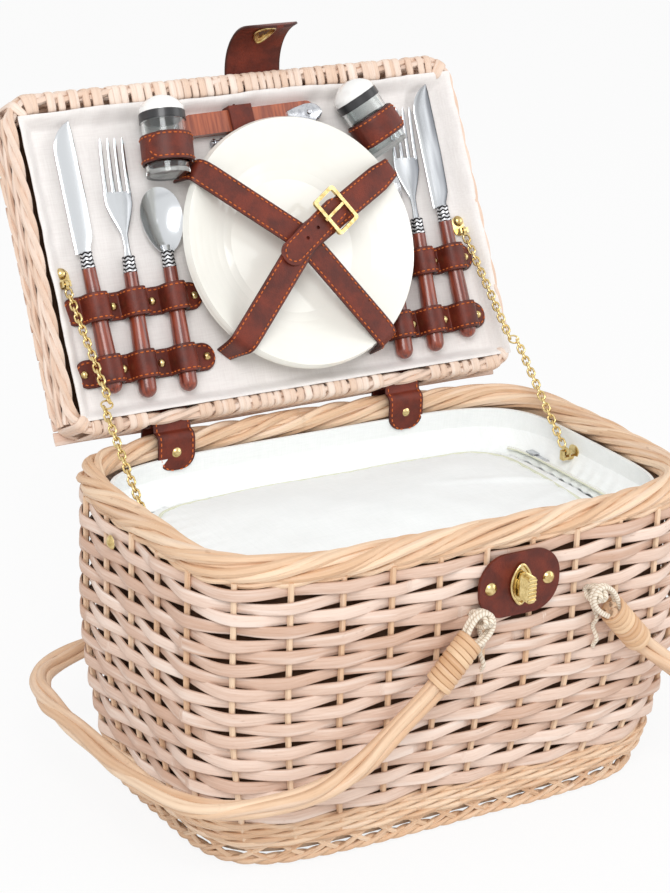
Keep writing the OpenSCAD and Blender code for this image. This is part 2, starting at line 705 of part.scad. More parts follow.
// Round tapering wooden grip with a collar (bolster), along +Y
module grip() {
    rotate([-90, 0, 0]) {
        translate([0, 0, grip_d / 2]) sphere(d = grip_d);
        translate([0, 0, grip_d / 2]) cylinder(h = grip_l - grip_d / 2, d1 = grip_d, d2 = grip_neck);
        translate([0, 0, grip_l]) cylinder(h = bolster_l, d1 = grip_neck + 0.6, d2 = 9);
    }
}

function arc_points(cx, cy, r, a0, a1, n) = [for (i = [0:n]) let(a = a0 + (a1 - a0) * i / n)
    [cx + r * cos(a), cy + r * sin(a)]];

module knife(place) color("silver") at_grip(place) {
    grip();
    y0 = grip_l + bolster_l;
    blade = knife_l - y0;
    translate([0, y0 - 1, -1]) linear_extrude(2)
        polygon(concat([[-8, 0], [-8, blade - 26]], arc_points(18, blade - 26, 26, 180, 112, 8),
            arc_points(6.6, blade - 1.8, 2.2, 100, 10, 3), [[10, blade - 60], [9, 12], [5, 8], [5, 0]]));
}

module fork(place) color("silver") at_grip(place) {
    grip();
    y0 = grip_l + bolster_l;
    reach = fork_l - y0;
    tine = 44;
    translate([0, y0 - 1, -1]) linear_extrude(2) difference() {
        polygon(concat([[3, 0], [2.6, reach - 76]],
            arc_points(2.6, reach - tine - 8, 9.6, -50, 0, 4), [[11.5, reach], [-11.5, reach]],
            arc_points(-2.6, reach - tine - 8, 9.6, 180, 230, 4), [[-2.6, reach - 76], [-3, 0]]));
        for (i = [-1:1]) translate([i * 6.2, reach - tine / 2 + 1]) square([2.9, tine], center = true);
    }
}

module spoon(place) color("silver") at_grip(place) {
    grip();
    y0 = grip_l + bolster_l;
    reach = spoon_l - y0;
    bowl_r = 46;
    bowl_half = 26;
    neck = reach - 2 * bowl_half + 4;
    translate([0, neck / 2 + y0 - 1, 0]) cube([5, neck, 2.4], center = true);
    translate([0, y0 + reach - bowl_half, 0]) intersection() {
        translate([0, 0, bowl_r - 5.4]) difference() {
            sphere(bowl_r, $fn = 96);
            sphere(bowl_r - 1.6, $fn = 96);
        }
        linear_extrude(16, center = true) polygon([for (i = [0:35])
            [17.5 * cos(10 * i) * (1 + 0.14 * sin(10 * i)), bowl_half * sin(10 * i)]]);
    }
}

module left_knife() knife(left_set[0]);
module left_fork() fork(left_set[1]);
module left_spoon() spoon(left_set[2]);
module right_knife() knife(right_set[0]);
module right_fork() fork(right_set[1]);
module right_spoon() spoon(right_set[2]);

// Where a grip crosses the strap row at v
function grip_u(place, v) = place[0] - (v - place[1]) * tan(place[2]);
arch_in = grip_d / 2 + 1.2;
arch_out = arch_in + leather_t;

// Strap along u that arches over each grip and lies flat between them
module cutlery_strap(places, v, u_from, u_to) {
    us = [for (p = places) grip_u(p, v)];
    translate([0, v, 0]) difference() {
        union() {
            translate([(u_from + u_to) / 2, 0, 0])
                rounded_plate(u_to - u_from, cutlery_strap_w, leather_t, cutlery_strap_w / 2 - 1);
            for (u = us) translate([u, 0, grip_axis]) rotate([90, 0, 0])
                cylinder(h = cutlery_strap_w, r = arch_out, center = true);
            for (u = us) translate([u, 0, grip_axis / 2])
                cube([2 * arch_out, cutlery_strap_w, grip_axis], center = true);
        }
        for (u = us) {
            translate([u, 0, grip_axis]) rotate([90, 0, 0])
                cylinder(h = cutlery_strap_w + 2, r = arch_in, center = true);
            translate([u, 0, 0]) cube([2 * arch_in, cutlery_strap_w + 2, 2 * grip_axis], center = true);
        }
        translate([0, 0, -50]) cube([2 * lid_length, 60, 100], center = true);
    }
}

left_end = [-184, -66];
right_ends = [[83, 184], [112, 184]];
module left_cutlery_straps() color("saddlebrown") on_board()
    for (v = strap_vs) cutlery_strap(left_set, v, left_end[0], left_end[1]);
module right_cutlery_straps() color("saddlebrown") on_board() {
    cutlery_strap(right_set, strap_vs[0], right_ends[0][0], right_ends[0][1]);
    cutlery_strap([right_set[0], right_set[1]], strap_vs[1], right_ends[1][0], right_ends[1][1]);
}

// Rivets between the grips, and more at the given places along the strap
function rivet_us(places, v, more) = let(us = [for (p = places) grip_u(p, v)])
    concat([for (i = [0:len(us) - 2]) (us[i] + us[i + 1]) / 2], more);
end_rivet = 7;                                 // from a strap's end to its rivet
module rivet_row(us, v) for (u = us) translate([u, v, leather_t + 0.1]) rivet_head(6.5, 2.4);
module cutlery_rivets() color("gold") on_board() {
    inner = left_end[1] - end_rivet;
    outer = right_ends[0][1] - end_rivet;
    rivet_row(rivet_us(left_set, strap_vs[0], [inner, left_end[0] + end_rivet]), strap_vs[0]);
    rivet_row(rivet_us(left_set, strap_vs[1], [inner]), strap_vs[1]);
    rivet_row(rivet_us(right_set, strap_vs[0], [outer]), strap_vs[0]);
    rivet_row(rivet_us([right_set[0], right_set[1]], strap_vs[1], [outer]), strap_vs[1]);
}

// ---------------------------------------------------------------- shakers

shaker_places = [[-82, 177, -6], [117, 178.2, 25]];   // foot [u, v] and lean, in degrees
cap_h = 14;
band_h = 7;
glass_h = shaker_h - cap_h - band_h;
shaker_axis = shaker_d / 2 + 3;

module at_shaker(place) on_board() translate([place[0], place[1], shaker_axis])
    rotate([0, 0, place[2]]) rotate([-90, 0, 0]) children();

module shaker_glass(place) color("lightcyan") at_shaker(place) difference() {
    cylinder(h = glass_h, d = shaker_d);
    translate([0, 0, 4]) cylinder(h = glass_h, d = shaker_d - 5);
}
module left_shaker() shaker_glass(shaker_places[0]);
module right_shaker() shaker_glass(shaker_places[1]);
module shaker_bands() color("black") for (p = shaker_places) at_shaker(p)
    translate([0, 0, glass_h + 0.1]) cylinder(h = band_h - 0.2, d = shaker_d + 2);
module shaker_caps() color("white") for (p = shaker_places) at_shaker(p)
    translate([0, 0, glass_h + band_h]) intersection() {
        cylinder(h = cap_h, d = shaker_d + 1);
        translate([0, 0, cap_h - 20]) sphere(20);
    }
module shaker_loops() color("saddlebrown") for (p = shaker_places) at_shaker(p)
    translate([0, 0, 9]) difference() {
        union() {
            cylinder(h = cutlery_strap_w, d = shaker_d + 2 * seat + 2 * leather_t);
            translate([0, shaker_axis / 2, cutlery_strap_w / 2])
                cube([26, shaker_axis, cutlery_strap_w], center = true);
        }
        translate([0, 0, -1]) cylinder(h = cutlery_strap_w + 2, d = shaker_d + 2 * seat);
    }

// ---------------------------------------------------------------- corkscrew

cork_at = [4, 217, 0];
cork_tilt = 1;
cork_l = 118;
cork_t = 10;
cork_w = 17;

module at_corkscrew() on_board() translate(cork_at) rotate([0, 0, cork_tilt]) children();
module corkscrew_body() color("sienna") at_corkscrew() {
    rounded_plate(cork_l, cork_w, cork_t, 7);
    translate([-cork_l / 2 + 3, -8, cork_t / 2]) cube([9, 6, 3], center = true);
}
module corkscrew_worm() color("silver") at_corkscrew() {
    turns = 5;
    coil_r = 3.2;
    wire_d = 1.8;
    y = -(cork_w / 2 + leather_t + 2 * seat + coil_r + wire_d / 2);
    for (i = [0:turns]) translate([-34 + i * 7, y, cork_t / 2]) rotate([0, 90, 0])
        rotate_extrude() translate([coil_r, 0]) circle(d = wire_d);
    translate([-16.5, y, cork_t / 2]) rotate([0, 90, 0]) cylinder(h = 40, d = 4.9, center = true);
}
module corkscrew_strap() color("saddlebrown") at_corkscrew() translate([-8, 0, 0]) {
    band = 20;
    tab_y = cork_w / 2 + seat + leather_t + 5.5;
    difference() {
        translate([0, 0, (cork_t + leather_t + seat) / 2])
            cube([band, cork_w + 2 * leather_t + 2 * seat, cork_t + leather_t + seat], center = true);
        translate([0, 0, (cork_t + seat) / 2 - 1])
            cube([band + 2, cork_w + 2 * seat, cork_t + seat + 2], center = true);
    }
    translate([0, tab_y, 0]) rounded_plate(18, 12, leather_t, 5.8);
    translate([0, tab_y, leather_t + 0.05]) rivet_head(8, 2.4);
}

// ---------------------------------------------------------------- pieces

module left_handle_bow() handle_bow(-1);
module left_handle_bindings() handle_bindings(-1);
module left_handle_eyes() handle_eyes(-1);
module right_handle_bow() handle_bow(1);
module right_handle_bindings() handle_bindings(1);
module right_handle_eyes() handle_eyes(1);
module left_chain_upper() chain_upper(-1);
module left_chain_lower() chain_lower(-1);
module right_chain_upper() chain_upper(1);
module right_chain_lower() chain_lower(1);

base_mat();
foot_border();
waling_band();
stakes();
wall_weave();
rim_border();
cooler_lining();
cooler_collar();
zip_tape();
zip_slider();
cooler_flap();
latch_plate();
latch_rivets();
turn_lock_rosette();
turn_lock_knob();
chain_studs();
wall_chain_eyes();
handle_pivots();
left_handle_bow();
left_handle_bindings();
left_handle_eyes();
right_handle_bow();
right_handle_bindings();
right_handle_eyes();
hinge_straps();
hinge_strap_rivets();
lid_frame();
lid_top_weave();
lid_lining_board();
lid_hinge_rods();
lid_chain_clips();
closure_tab();
closure_eyelet();
left_chain_upper();
left_chain_lower();
right_chain_upper();
right_chain_lower();
back_plate();
front_plate();
plate_strap_under();
plate_strap_over();
strap_tongue();
strap_buckle();
left_knife();
left_fork();
left_spoon();
right_knife();
right_fork();
right_spoon();
left_cutlery_straps();
right_cutlery_straps();
cutlery_rivets();
left_shaker();
right_shaker();
shaker_caps();
shaker_bands();
shaker_loops();
corkscrew_body();
corkscrew_worm();
corkscrew_strap();
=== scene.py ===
"""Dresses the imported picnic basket: willow weaving, cane bindings, cloth, leather, china and steel.

Every size is in millimetres until a piece is built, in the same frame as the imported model.
"""

import logging
import math
from dataclasses import dataclass, field
from enum import Enum
from typing import Optional, Sequence

import bpy
import numpy as np
from mathutils import Matrix, Vector


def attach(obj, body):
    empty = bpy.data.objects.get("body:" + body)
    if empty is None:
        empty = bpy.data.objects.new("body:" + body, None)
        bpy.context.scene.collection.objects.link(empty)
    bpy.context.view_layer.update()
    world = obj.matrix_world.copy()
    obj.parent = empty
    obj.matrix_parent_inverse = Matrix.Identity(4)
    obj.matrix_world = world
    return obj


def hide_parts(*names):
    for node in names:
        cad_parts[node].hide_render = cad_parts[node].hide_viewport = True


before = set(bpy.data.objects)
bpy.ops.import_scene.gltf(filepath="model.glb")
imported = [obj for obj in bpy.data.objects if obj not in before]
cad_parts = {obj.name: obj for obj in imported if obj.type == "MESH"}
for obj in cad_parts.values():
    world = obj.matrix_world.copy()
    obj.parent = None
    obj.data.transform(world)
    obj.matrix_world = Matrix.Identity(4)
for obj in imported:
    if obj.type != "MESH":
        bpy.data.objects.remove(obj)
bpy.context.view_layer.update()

LOG = logging.getLogger("basket")
Array = np.ndarray
MM = 0.001
TAU = 2 * math.pi
PROFILE_TURN = 0.01  # keeps a profile's first point just off its own axis
UP = np.array([0.0, 0.0, 1.0])


# ---------- numbers and curves

def unit(v: Array) -> Array:
    """Each vector divided by its own length."""
    return v / np.maximum(np.linalg.norm(v, axis=-1, keepdims=True), 1e-12)


def smooth(x: Array, low: float, high: float) -> Array:
    """Smooth step: t squared times (3 - 2t), with t = (x - low) / (high - low) held in 0..1."""
    t = np.clip((x - low) / (high - low), 0, 1)
    return t * t * (3 - 2 * t)


def ripple(x: Array, y: Array, seed: int, size: float, waves: int = 7) -> Array:
    """Soft unevenness: the mean of plane waves of about one size in seeded directions, in about -1..1."""
    rng = np.random.default_rng(seed)
    out = np.zeros(np.broadcast(x, y).shape)
    for _ in range(waves):
        turn, shift, scale = rng.uniform(0, TAU), rng.uniform(0, TAU), rng.uniform(0.6, 1.6)
        out = out + np.sin((x * math.cos(turn) + y * math.sin(turn)) * TAU / size * scale + shift)
    return out / math.sqrt(waves) / 1.2


def chance(shape: Sequence[int], seed: int) -> Array:
    """Seeded numbers in 0..1 in an array of the given shape."""
    return np.random.default_rng(seed).random(shape)


def draw(seed: int) -> float:
    """One seeded number in 0..1."""
    return float(chance((1,), seed)[0])


def bulge(x: Array, power: float) -> Array:
    """The size of a number to a power, with its sign kept."""
    return np.sign(x) * np.abs(x) ** power


def around(count: int) -> Array:
    """Angles evenly spaced round a circle, the last one a step short of the first."""
    return np.arange(count) / count * TAU


def run_of(points: Array) -> Array:
    """Length run from the first point, at each point."""
    return np.concatenate([[0], np.cumsum(np.linalg.norm(np.diff(points, axis=0), axis=1))])


def lookup(wanted: Array, along: Array, rows: Array) -> Array:
    """Rows at the wanted places along, straight between the known ones."""
    return np.stack([np.interp(wanted, along, rows[:, k]) for k in range(rows.shape[1])], -1)


def resample(points: Array, count: int) -> Array:
    """The same polyline with its points evenly spaced by length."""
    along = run_of(points)
    return lookup(np.linspace(0, along[-1], count), along, points)


def rounded(points: Sequence[Sequence[float]], rounds: int = 3) -> Array:
    """Corner cutting: each round replaces every corner by points a quarter of the way along its edges."""
    p = np.array(points, float)
    for _ in range(rounds):
        near, far = p[:-1] * 0.75 + p[1:] * 0.25, p[:-1] * 0.25 + p[1:] * 0.75
        p = np.concatenate([p[:1], np.stack([near, far], 1).reshape(-1, p.shape[1]), p[-1:]])
    return p


# ---------- pieces

def plain(points: Array) -> Array:
    """Marks of a piece without a run: middle tone, no run and no side."""
    return np.zeros(points.shape) + [0, 0, 0.5]


class Piece:
    """Gathers closed surfaces, each a grid of points, and turns them into one object."""

    def __init__(self, name: str) -> None:
        """Starts an empty piece of the given name."""
        self.name = name
        self.points: list[Array] = []
        self.strips: list[Array] = []
        self.quads: list[Array] = []
        self.tris: list[Array] = []
        self.count = 0

    def _keep(self, points: Array, strip: Array, quads: Array, tris: Array) -> None:
        """Adds one closed surface, turned so that its faces point outwards.

        The sign of its volume, the sum of a . (b x c) / 6 over its triangles, tells which way they point.

        Args:
            points: positions in millimetres, (n, 3).
            strip: run, side and tone at each point, (n, 3).
            quads: four-cornered faces, (k, 4).
            tris: three-cornered faces, (k, 3).
        """
        middle = points.mean(0)
        fans = np.concatenate([quads[:, [0, 1, 2]], quads[:, [0, 2, 3]], tris])
        a, b, c = (points[fans[:, k]] - middle for k in range(3))
        if np.einsum("ij,ij->", a, np.cross(b, c)) < 0:
            quads, tris = quads[:, ::-1], tris[:, ::-1]
        self.points.append(points)
        self.strips.append(strip)
        self.quads.append(quads + self.count)
        self.tris.append(tris + self.count)
        self.count += len(points)

    def tube(self, grid: Array, strip: Array, closed: bool = False) -> None:
        """Adds a tube of rings.

        Args:
            grid: ring after ring of points, (rings, points, 3).
            strip: run, side and tone, of the same shape.
            closed: whether the last ring joins the first; otherwise both ends get a cap.
        """
        n, m = grid.shape[:2]
        index = np.arange(n * m).reshape(n, m)
        first, second = (index, np.roll(index, -1, 0)) if closed else (index[:-1], index[1:])
        quads = np.stack([first, np.roll(first, -1, 1), np.roll(second, -1, 1), second], -1).reshape(-1, 4)
        points, strips = grid.reshape(-1, 3), strip.reshape(-1, 3)
        tris = np.zeros((0, 3), int)
        if not closed:
            points = np.concatenate([points, grid[[0, -1]].mean(1)])
            strips = np.concatenate([strips, strip[[0, -1]].mean(1)])
            start, end = index[0], index[-1]
            tris = np.concatenate([
                np.stack([np.roll(start, -1), start, np.full(m, n * m)], -1),
                np.stack([end, np.roll(end, -1), np.full(m, n * m + 1)], -1)])
        self._keep(points, strips, quads, tris)

    def sheet(self, grid: Array, thickness: float, away: Array) -> None:
        """Adds an open sheet as a thin closed shell.

        Args:
            grid: the upper face, (n, m, 3).
            thickness: distance from the upper face to the lower one.
            away: direction from the lower face to the upper one.
        """
        n, m = grid.shape[:2]
        low = grid - away * thickness
        top = np.arange(n * m).reshape(n, m)
        under = top + n * m

        def quad(a: Array, b: Array, c: Array, d: Array) -> Array:
            """Faces from four arrays of corners."""
            return np.stack([a, b, c, d], -1).reshape(-1, 4)

        quads = np.concatenate([
            quad(top[:-1, :-1], top[:-1, 1:], top[1:, 1:], top[1:, :-1]),
            quad(under[:-1, :-1], under[1:, :-1], under[1:, 1:], under[:-1, 1:]),
            quad(top[0, 1:], top[0, :-1], under[0, :-1], under[0, 1:]),
            quad(top[-1, :-1], top[-1, 1:], under[-1, 1:], under[-1, :-1]),
            quad(top[:-1, 0], top[1:, 0], under[1:, 0], under[:-1, 0]),
            quad(top[1:, -1], top[:-1, -1], under[:-1, -1], under[1:, -1])])
        points = np.concatenate([grid.reshape(-1, 3), low.reshape(-1, 3)])
        self._keep(points, plain(points), quads, np.zeros((0, 3), int))

    def copies(self, points: Array, quads: Array, tris: Array, places: Array, frames: Array) -> None:
        """Adds one small shape at many places: each point is place + its coordinates times the frame's axes.

        Args:
            points: the shape's own points, (k, 3).
            quads: its four-cornered faces.
            tris: its three-cornered faces.
            places: where each copy goes, (n, 3).
            frames: each copy's three axes as rows, (n, 3, 3).
        """
        a, b, c = (points[tris[:, k]] for k in range(3))
        if len(tris) and np.einsum("ij,ij->", a, np.cross(b, c)) < 0:
            quads, tris = quads[:, ::-1], tris[:, ::-1]
        n, k = len(places), len(points)
        where = places[:, None] + np.einsum("ka,nab->nkb", points, frames)
        shift = (np.arange(n) * k)[:, None, None] + self.count
        self.quads.append((quads[None] + shift).reshape(-1, 4))
        self.tris.append((tris[None] + shift).reshape(-1, 3))
        self.points.append(where.reshape(-1, 3))
        self.strips.append(plain(self.points[-1]))
        self.count += n * k

    def build(self, finish: "Finish", body: str, replaces: Sequence[str] = (), sharp: float = 50,
              slot: str = "") -> bpy.types.Object:
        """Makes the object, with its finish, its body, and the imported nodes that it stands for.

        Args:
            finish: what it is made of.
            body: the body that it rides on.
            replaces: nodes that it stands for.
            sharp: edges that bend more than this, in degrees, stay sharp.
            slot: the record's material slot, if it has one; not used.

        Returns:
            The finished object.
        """
        mesh = bpy.data.meshes.new(self.name)
        points = (np.concatenate(self.points) * MM).astype(np.float32)
        quads, tris = np.concatenate(self.quads), np.concatenate(self.tris)
        corners = np.concatenate([quads.ravel(), tris.ravel()]).astype(np.int32)
        starts = np.concatenate([np.arange(len(quads)) * 4, len(quads) * 4 + np.arange(len(tris)) * 3])
        mesh.vertices.add(len(points))
        mesh.vertices.foreach_set("co", points.ravel())
        mesh.loops.add(len(corners))
        mesh.loops.foreach_set("vertex_index", corners)
        mesh.polygons.add(len(starts))
        mesh.polygons.foreach_set("loop_start", starts.astype(np.int32))
        mesh.polygons.foreach_set("use_smooth", np.ones(len(starts), bool))
        mesh.update(calc_edges=True)
        layer = mesh.attributes.new("strip", "FLOAT_VECTOR", "POINT")
        layer.data.foreach_set("vector", np.concatenate(self.strips).astype(np.float32).ravel())
        mesh.validate()
        mesh.set_sharp_from_angle(angle=math.radians(sharp))
        mesh.materials.append(finish.material())
        obj = stand(self.name, mesh)
        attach(obj, body)
        if replaces:
            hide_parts(*replaces)
        LOG.info("%s: %d faces on %s", self.name, len(starts), body)
        return obj


def stand(name: str, data: object) -> bpy.types.Object:
    """Puts an object with the given data in the scene."""
    obj = bpy.data.objects.new(name, data)
    bpy.context.scene.collection.objects.link(obj)
    return obj


def sweep(path: Array, side: Array, up: Array, section: Array) -> Array:
    """Carries a profile along a path: point = path + a times side + b times up.

    Args:
        path: points along the middle, (n, 3).
        side: direction of the profile's first coordinate, one or one at each point.
        up: direction of its second coordinate, the same way.
        section: the profile, (m, 2), or one for every point, (n, m, 2).

    Returns:
        The grid of points, (n, m, 3).
    """
    section = np.broadcast_to(section, (len(path), *section.shape[-2:]))
    side, up = np.broadcast_to(side, path.shape), np.broadcast_to(up, path.shape)
    return path[:, None] + section[..., :1] * side[:, None] + section[..., 1:] * up[:, None]


def oval(half_a: Array | float, half_b: Array | float, count: int = 8, power: float = 1.0) -> Array:
    """Oval profiles: a = half_a times cos to a power, b = half_b times sin to a power.

    Args:
        half_a: half sizes along the first coordinate, one number or an array.
        half_b: half sizes along the second.
        count: points round the oval.
        power: 1 for an ellipse, less for a squarer shape.

    Returns:
        Profiles of shape (..., count, 2).
    """
    half_a, half_b = np.broadcast_arrays(half_a, half_b)
    angle = around(count) + PROFILE_TURN
    c, s = bulge(np.cos(angle), power), bulge(np.sin(angle), power)
    return np.stack([np.multiply.outer(half_a, c), np.multiply.outer(half_b, s)], -1)


def marks(run: Array, count: int, tone: Array | float, power: float = 1.0) -> Array:
    """Run in metres, side from -1 to 1 and tone for a swept strip.

    Side is the sine round the profile.

    Args:
        run: length run at each ring, in millimetres.
        count: points round the profile.
        tone: tone of the strip, one number or one at each ring.
        power: the profile's power.

    Returns:
        Marks of shape (rings, count, 3).
    """
    s = np.sin(around(count) + PROFILE_TURN)
    out = np.zeros((len(run), count, 3))
    out[..., 0] = run[:, None] * MM
    out[..., 1] = bulge(s, power)
    out[..., 2] = np.broadcast_to(np.asarray(tone, float).reshape(-1, 1), (len(run), count))
    return out


def ribbon(piece: Piece, path: Array, side: Array, up: Array, halves: Sequence[Array | float], run: Array,
           tone: Array | float, count: int, power: float = 1.0, closed: bool = True) -> None:
    """Adds an oval profile swept along a path, with its marks.

    Args:
        piece: the piece that takes it.
        path: points along its middle.
        side: direction of the profile's first coordinate.
        up: direction of its second coordinate.
        halves: its half sizes along the two.
        run: length run at each point.
        tone: its tone, one number or one at each point.
        count: points round it.
        power: 1 for an ellipse, less for a squarer shape.
        closed: whether it runs round into itself.
    """
    piece.tube(sweep(path, side, up, oval(*halves, count, power)), marks(run, count, tone, power), closed)


def frames_along(path: Array, ref: Sequence[float], closed: bool = False) -> tuple[Array, Array, Array]:
    """Tangent, side and up of a path: side is tangent x ref, and up is side x tangent."""
    if closed:
        tangent = unit(np.roll(path, -1, 0) - np.roll(path, 1, 0))
    else:
        tangent = unit(np.gradient(path, axis=0))
    side = unit(np.cross(tangent, np.asarray(ref, float)))
    return tangent, side, unit(np.cross(side, tangent))


def rod(piece: Piece, path: Array, diameter: Array | float, tone: float, sides: int = 7, closed: bool = False,
        ref: Sequence[float] = (0, 0, 1)) -> None:
    """Adds a round rod along a path.

    Args:
        piece: the piece that takes it.
        path: points along its middle.
        diameter: its thickness, one number or one at each point.
        tone: its tone.
        sides: points round it.
        closed: whether it runs round into itself.
        ref: a direction that the path never runs along.
    """
    _, side, up = frames_along(path, ref, closed)
    half = np.asarray(diameter, float) / 2
    ribbon(piece, path, side, up, (half, half), run_of(path), tone, sides, closed=closed)


def rope(piece: Piece, path: Array, strands: int, radius: float, diameter: float, turns: float, closed: bool,
         ref: Sequence[float], seed: int = 1, sides: int = 7, wander: float = 0.0) -> None:
    """Adds strands twisted round a path: each is path + radius times (cos of its turn, sin of its turn).

    Args:
        piece: the piece that takes them.
        path: points along the middle.
        strands: how many.
        radius: from the middle to each strand's own middle.
        diameter: thickness of a strand.
        turns: turns along the whole path, whole numbers on a closed one.
        closed: whether the path runs round into itself.
        ref: a direction that the path never runs along.
        seed: seed of the strands' tones.
        sides: points round a strand.
        wander: how far each strand strays from its even turn, in radians.
    """
    _, side, up = frames_along(path, ref, closed)
    n = len(path)
    share = np.arange(n) / n if closed else np.linspace(0, 1, n)
    tones = chance((strands,), seed)
    for k in range(strands):
        turn = TAU * (k / strands + turns * share) + wander * np.sin(TAU * share * (5 + k % 3) + 2.4 * k)
        stray = 1 + 0.3 * wander * np.sin(TAU * share * (7 - k % 4) + k)
        away = np.cos(turn)[:, None] * side + np.sin(turn)[:, None] * up
        middle = path + radius * stray[:, None] * away
        half = diameter / 2 * (1 + 0.06 * np.sin(share * TAU * 9 + k))
        ribbon(piece, middle, side, up, (half, half), run_of(middle) + 97 * k, tones[k], sides, closed=closed)


class Strap:
    """A leather strap along a path, with a row of stitches along each edge."""

    def __init__(self, path: Array, face: Array, width: float, thickness: float, round_start: float = 0,
                 round_end: float = 0, taper: Optional[Array] = None, count: int = 60) -> None:
        """Works out the strap's middle line and its width at each point.

        Args:
            path: points along the middle of the leather.
            face: direction that its good side faces, one or one at each point.
            width: full width.
            thickness: of the leather.
            round_start: radius of a rounded start, 0 for a square one.
            round_end: radius of a rounded end.
            taper: share of the width at each of the resampled points.
            count: points along it.
        """
        face = np.broadcast_to(face, path.shape)
        along = run_of(path)
        wanted = np.linspace(0, along[-1], count)
        ends = 0.5 - 0.5 * np.cos(np.linspace(0, math.pi, count))
        blend = 0.5 if (round_start or round_end) else 0.0
        wanted = wanted * (1 - blend) + ends * along[-1] * blend
        self.path = lookup(wanted, along, path)
        face = unit(lookup(wanted, along, face))
        self.run, self.thickness = wanted, thickness
        half = np.full(count, width / 2)
        if taper is not None:
            half = half * np.interp(wanted / along[-1], np.linspace(0, 1, len(taper)), taper)
        for radius, gone in ((round_start, wanted), (round_end, along[-1] - wanted)):
            if radius:
                short = np.clip(radius - gone, 0, radius)
                half = np.minimum(half, half - radius + np.sqrt(np.maximum(radius ** 2 - short ** 2, 0.02)))
        self.half = np.maximum(half, 0.15)
        tangent = unit(np.gradient(self.path, axis=0))
        self.side = unit(np.cross(tangent, face))
        self.face = unit(np.cross(self.side, tangent))

    def leather(self, piece: Piece) -> "Strap":
        """Adds the leather: a flat profile with rounded edges and a slightly domed good side."""
        across = np.array([-1, -0.985, -0.93, -0.5, 0, 0.5, 0.93, 0.985, 1, 0.96, 0, -0.96])
        high = np.array([0, 0.34, 0.46, 0.5, 0.53, 0.5, 0.46, 0.34, 0, -0.46, -0.5, -0.46])
        rings = (len(self.half), len(across))
        section = np.stack([np.multiply.outer(self.half, across), np.broadcast_to(high * self.thickness, rings)], -1)
        strip = plain(np.zeros((*rings, 3)))
        strip[..., 0] = self.run[:, None] * MM
        strip[..., 1] = across
        piece.tube(sweep(self.path, self.side, self.face, section), strip)
        return self

    def stitches(self, piece: Piece, inset: float) -> "Strap":
        """Adds the stitches along both edges, set in from them."""
        for sign in (-1, 1):
            width = np.maximum(self.half - inset, 0.0)
            line = self.path + sign * width[:, None] * self.side + self.face * (self.thickness * 0.5 + 0.25)
            stitch_line(piece, line, self.face)
        return self


def stitch_line(piece: Piece, line: Array, face: Array, skip: float = 2.5, pitch: float = 4.4,
                length: float = 3.0) -> None:
    """Adds small pointed capsules at even steps along a line, each along the line's direction there.

    Args:
        piece: the piece that takes them.
        line: points along the row.
        face: direction that they stand out to, one or one at each point.
        skip: bare length at both ends.
        pitch: from one stitch to the next.
        length: of a stitch.
    """
    along = run_of(line)
    places = np.arange(skip, along[-1] - skip, pitch)
    if not len(places):
        return
    face = np.broadcast_to(face, line.shape)
    reach = 0.8
    spot, up = lookup(places, along, line), unit(lookup(places, along, face))
    tangent = unit(lookup(places + reach, along, line) - lookup(places - reach, along, line))
    frames = np.stack([tangent, unit(np.cross(up, tangent)), up], 1)
    a, r = length / 2, 0.5
    ring = np.array([[0, r, 0], [0, 0, r], [0, -r, 0], [0, 0, -r]])
    points = np.concatenate([ring + [-a * 0.55, 0, 0], ring + [a * 0.55, 0, 0], [[-a, 0, 0], [a, 0, 0]]])
    turn = np.arange(4)
    ahead = (turn + 1) % 4
    quads = np.stack([turn, ahead, ahead + 4, turn + 4], -1)
    tris = np.concatenate([np.stack([ahead, turn, np.full(4, 8)], -1),
                           np.stack([turn + 4, ahead + 4, np.full(4, 9)], -1)])
    piece.copies(points, quads, tris, spot, frames)


# ---------- shaders

def srgb(red: int, green: int, blue: int) -> tuple[float, float, float, float]:
    """A display colour in 0..255 as a linear one."""
    line = [((c / 255 + 0.055) / 1.055) ** 2.4 if c > 10 else c / 255 / 12.92 for c in (red, green, blue)]
    return (line[0], line[1], line[2], 1.0)


class Value:
    """A shader socket in ordinary arithmetic: every operator adds one Math node."""

    def __init__(self, tree: bpy.types.NodeTree, socket: bpy.types.NodeSocket) -> None:
        """Wraps one output socket."""
        self.tree, self.socket = tree, socket

    def math(self, operation: str, *others: "Value | float", first: "Value | float | None" = None) -> "Value":
        """Adds a Math node of the given operation, with this value first unless another comes before it."""
        node = self.tree.nodes.new("ShaderNodeMath")
        node.operation = operation
        items = (self, *others) if first is None else (first, self, *others)
        for slot, item in zip(node.inputs, items):
            if isinstance(item, Value):
                self.tree.links.new(item.socket, slot)
            else:
                slot.default_value = float(item)
        return Value(self.tree, node.outputs[0])

    def __add__(self, other: "Value | float") -> "Value":
        """Sum."""
        return self.math("ADD", other)

    __radd__ = __add__

    def __mul__(self, other: "Value | float") -> "Value":
        """Product."""
        return self.math("MULTIPLY", other)

    __rmul__ = __mul__

    def __sub__(self, other: "Value | float") -> "Value":
        """Difference."""
        return self.math("SUBTRACT", other)

    def __rsub__(self, other: float) -> "Value":
        """Difference with this value second."""
        return self.math("SUBTRACT", first=other)

    def fract(self) -> "Value":
        """Fractional part."""
        return self.math("FRACT")

    def abs(self) -> "Value":
        """Size without sign."""
        return self.math("ABSOLUTE")

    def over(self, low: float, high: float) -> "Value":
        """0 below low, 1 above high, smooth between."""
        node = self.tree.nodes.new("ShaderNodeMapRange")
        node.interpolation_type = "SMOOTHSTEP"
        self.tree.links.new(self.socket, node.inputs["Value"])
        node.inputs["From Min"].default_value = low
        node.inputs["From Max"].default_value = high
        return Value(self.tree, node.outputs["Result"])


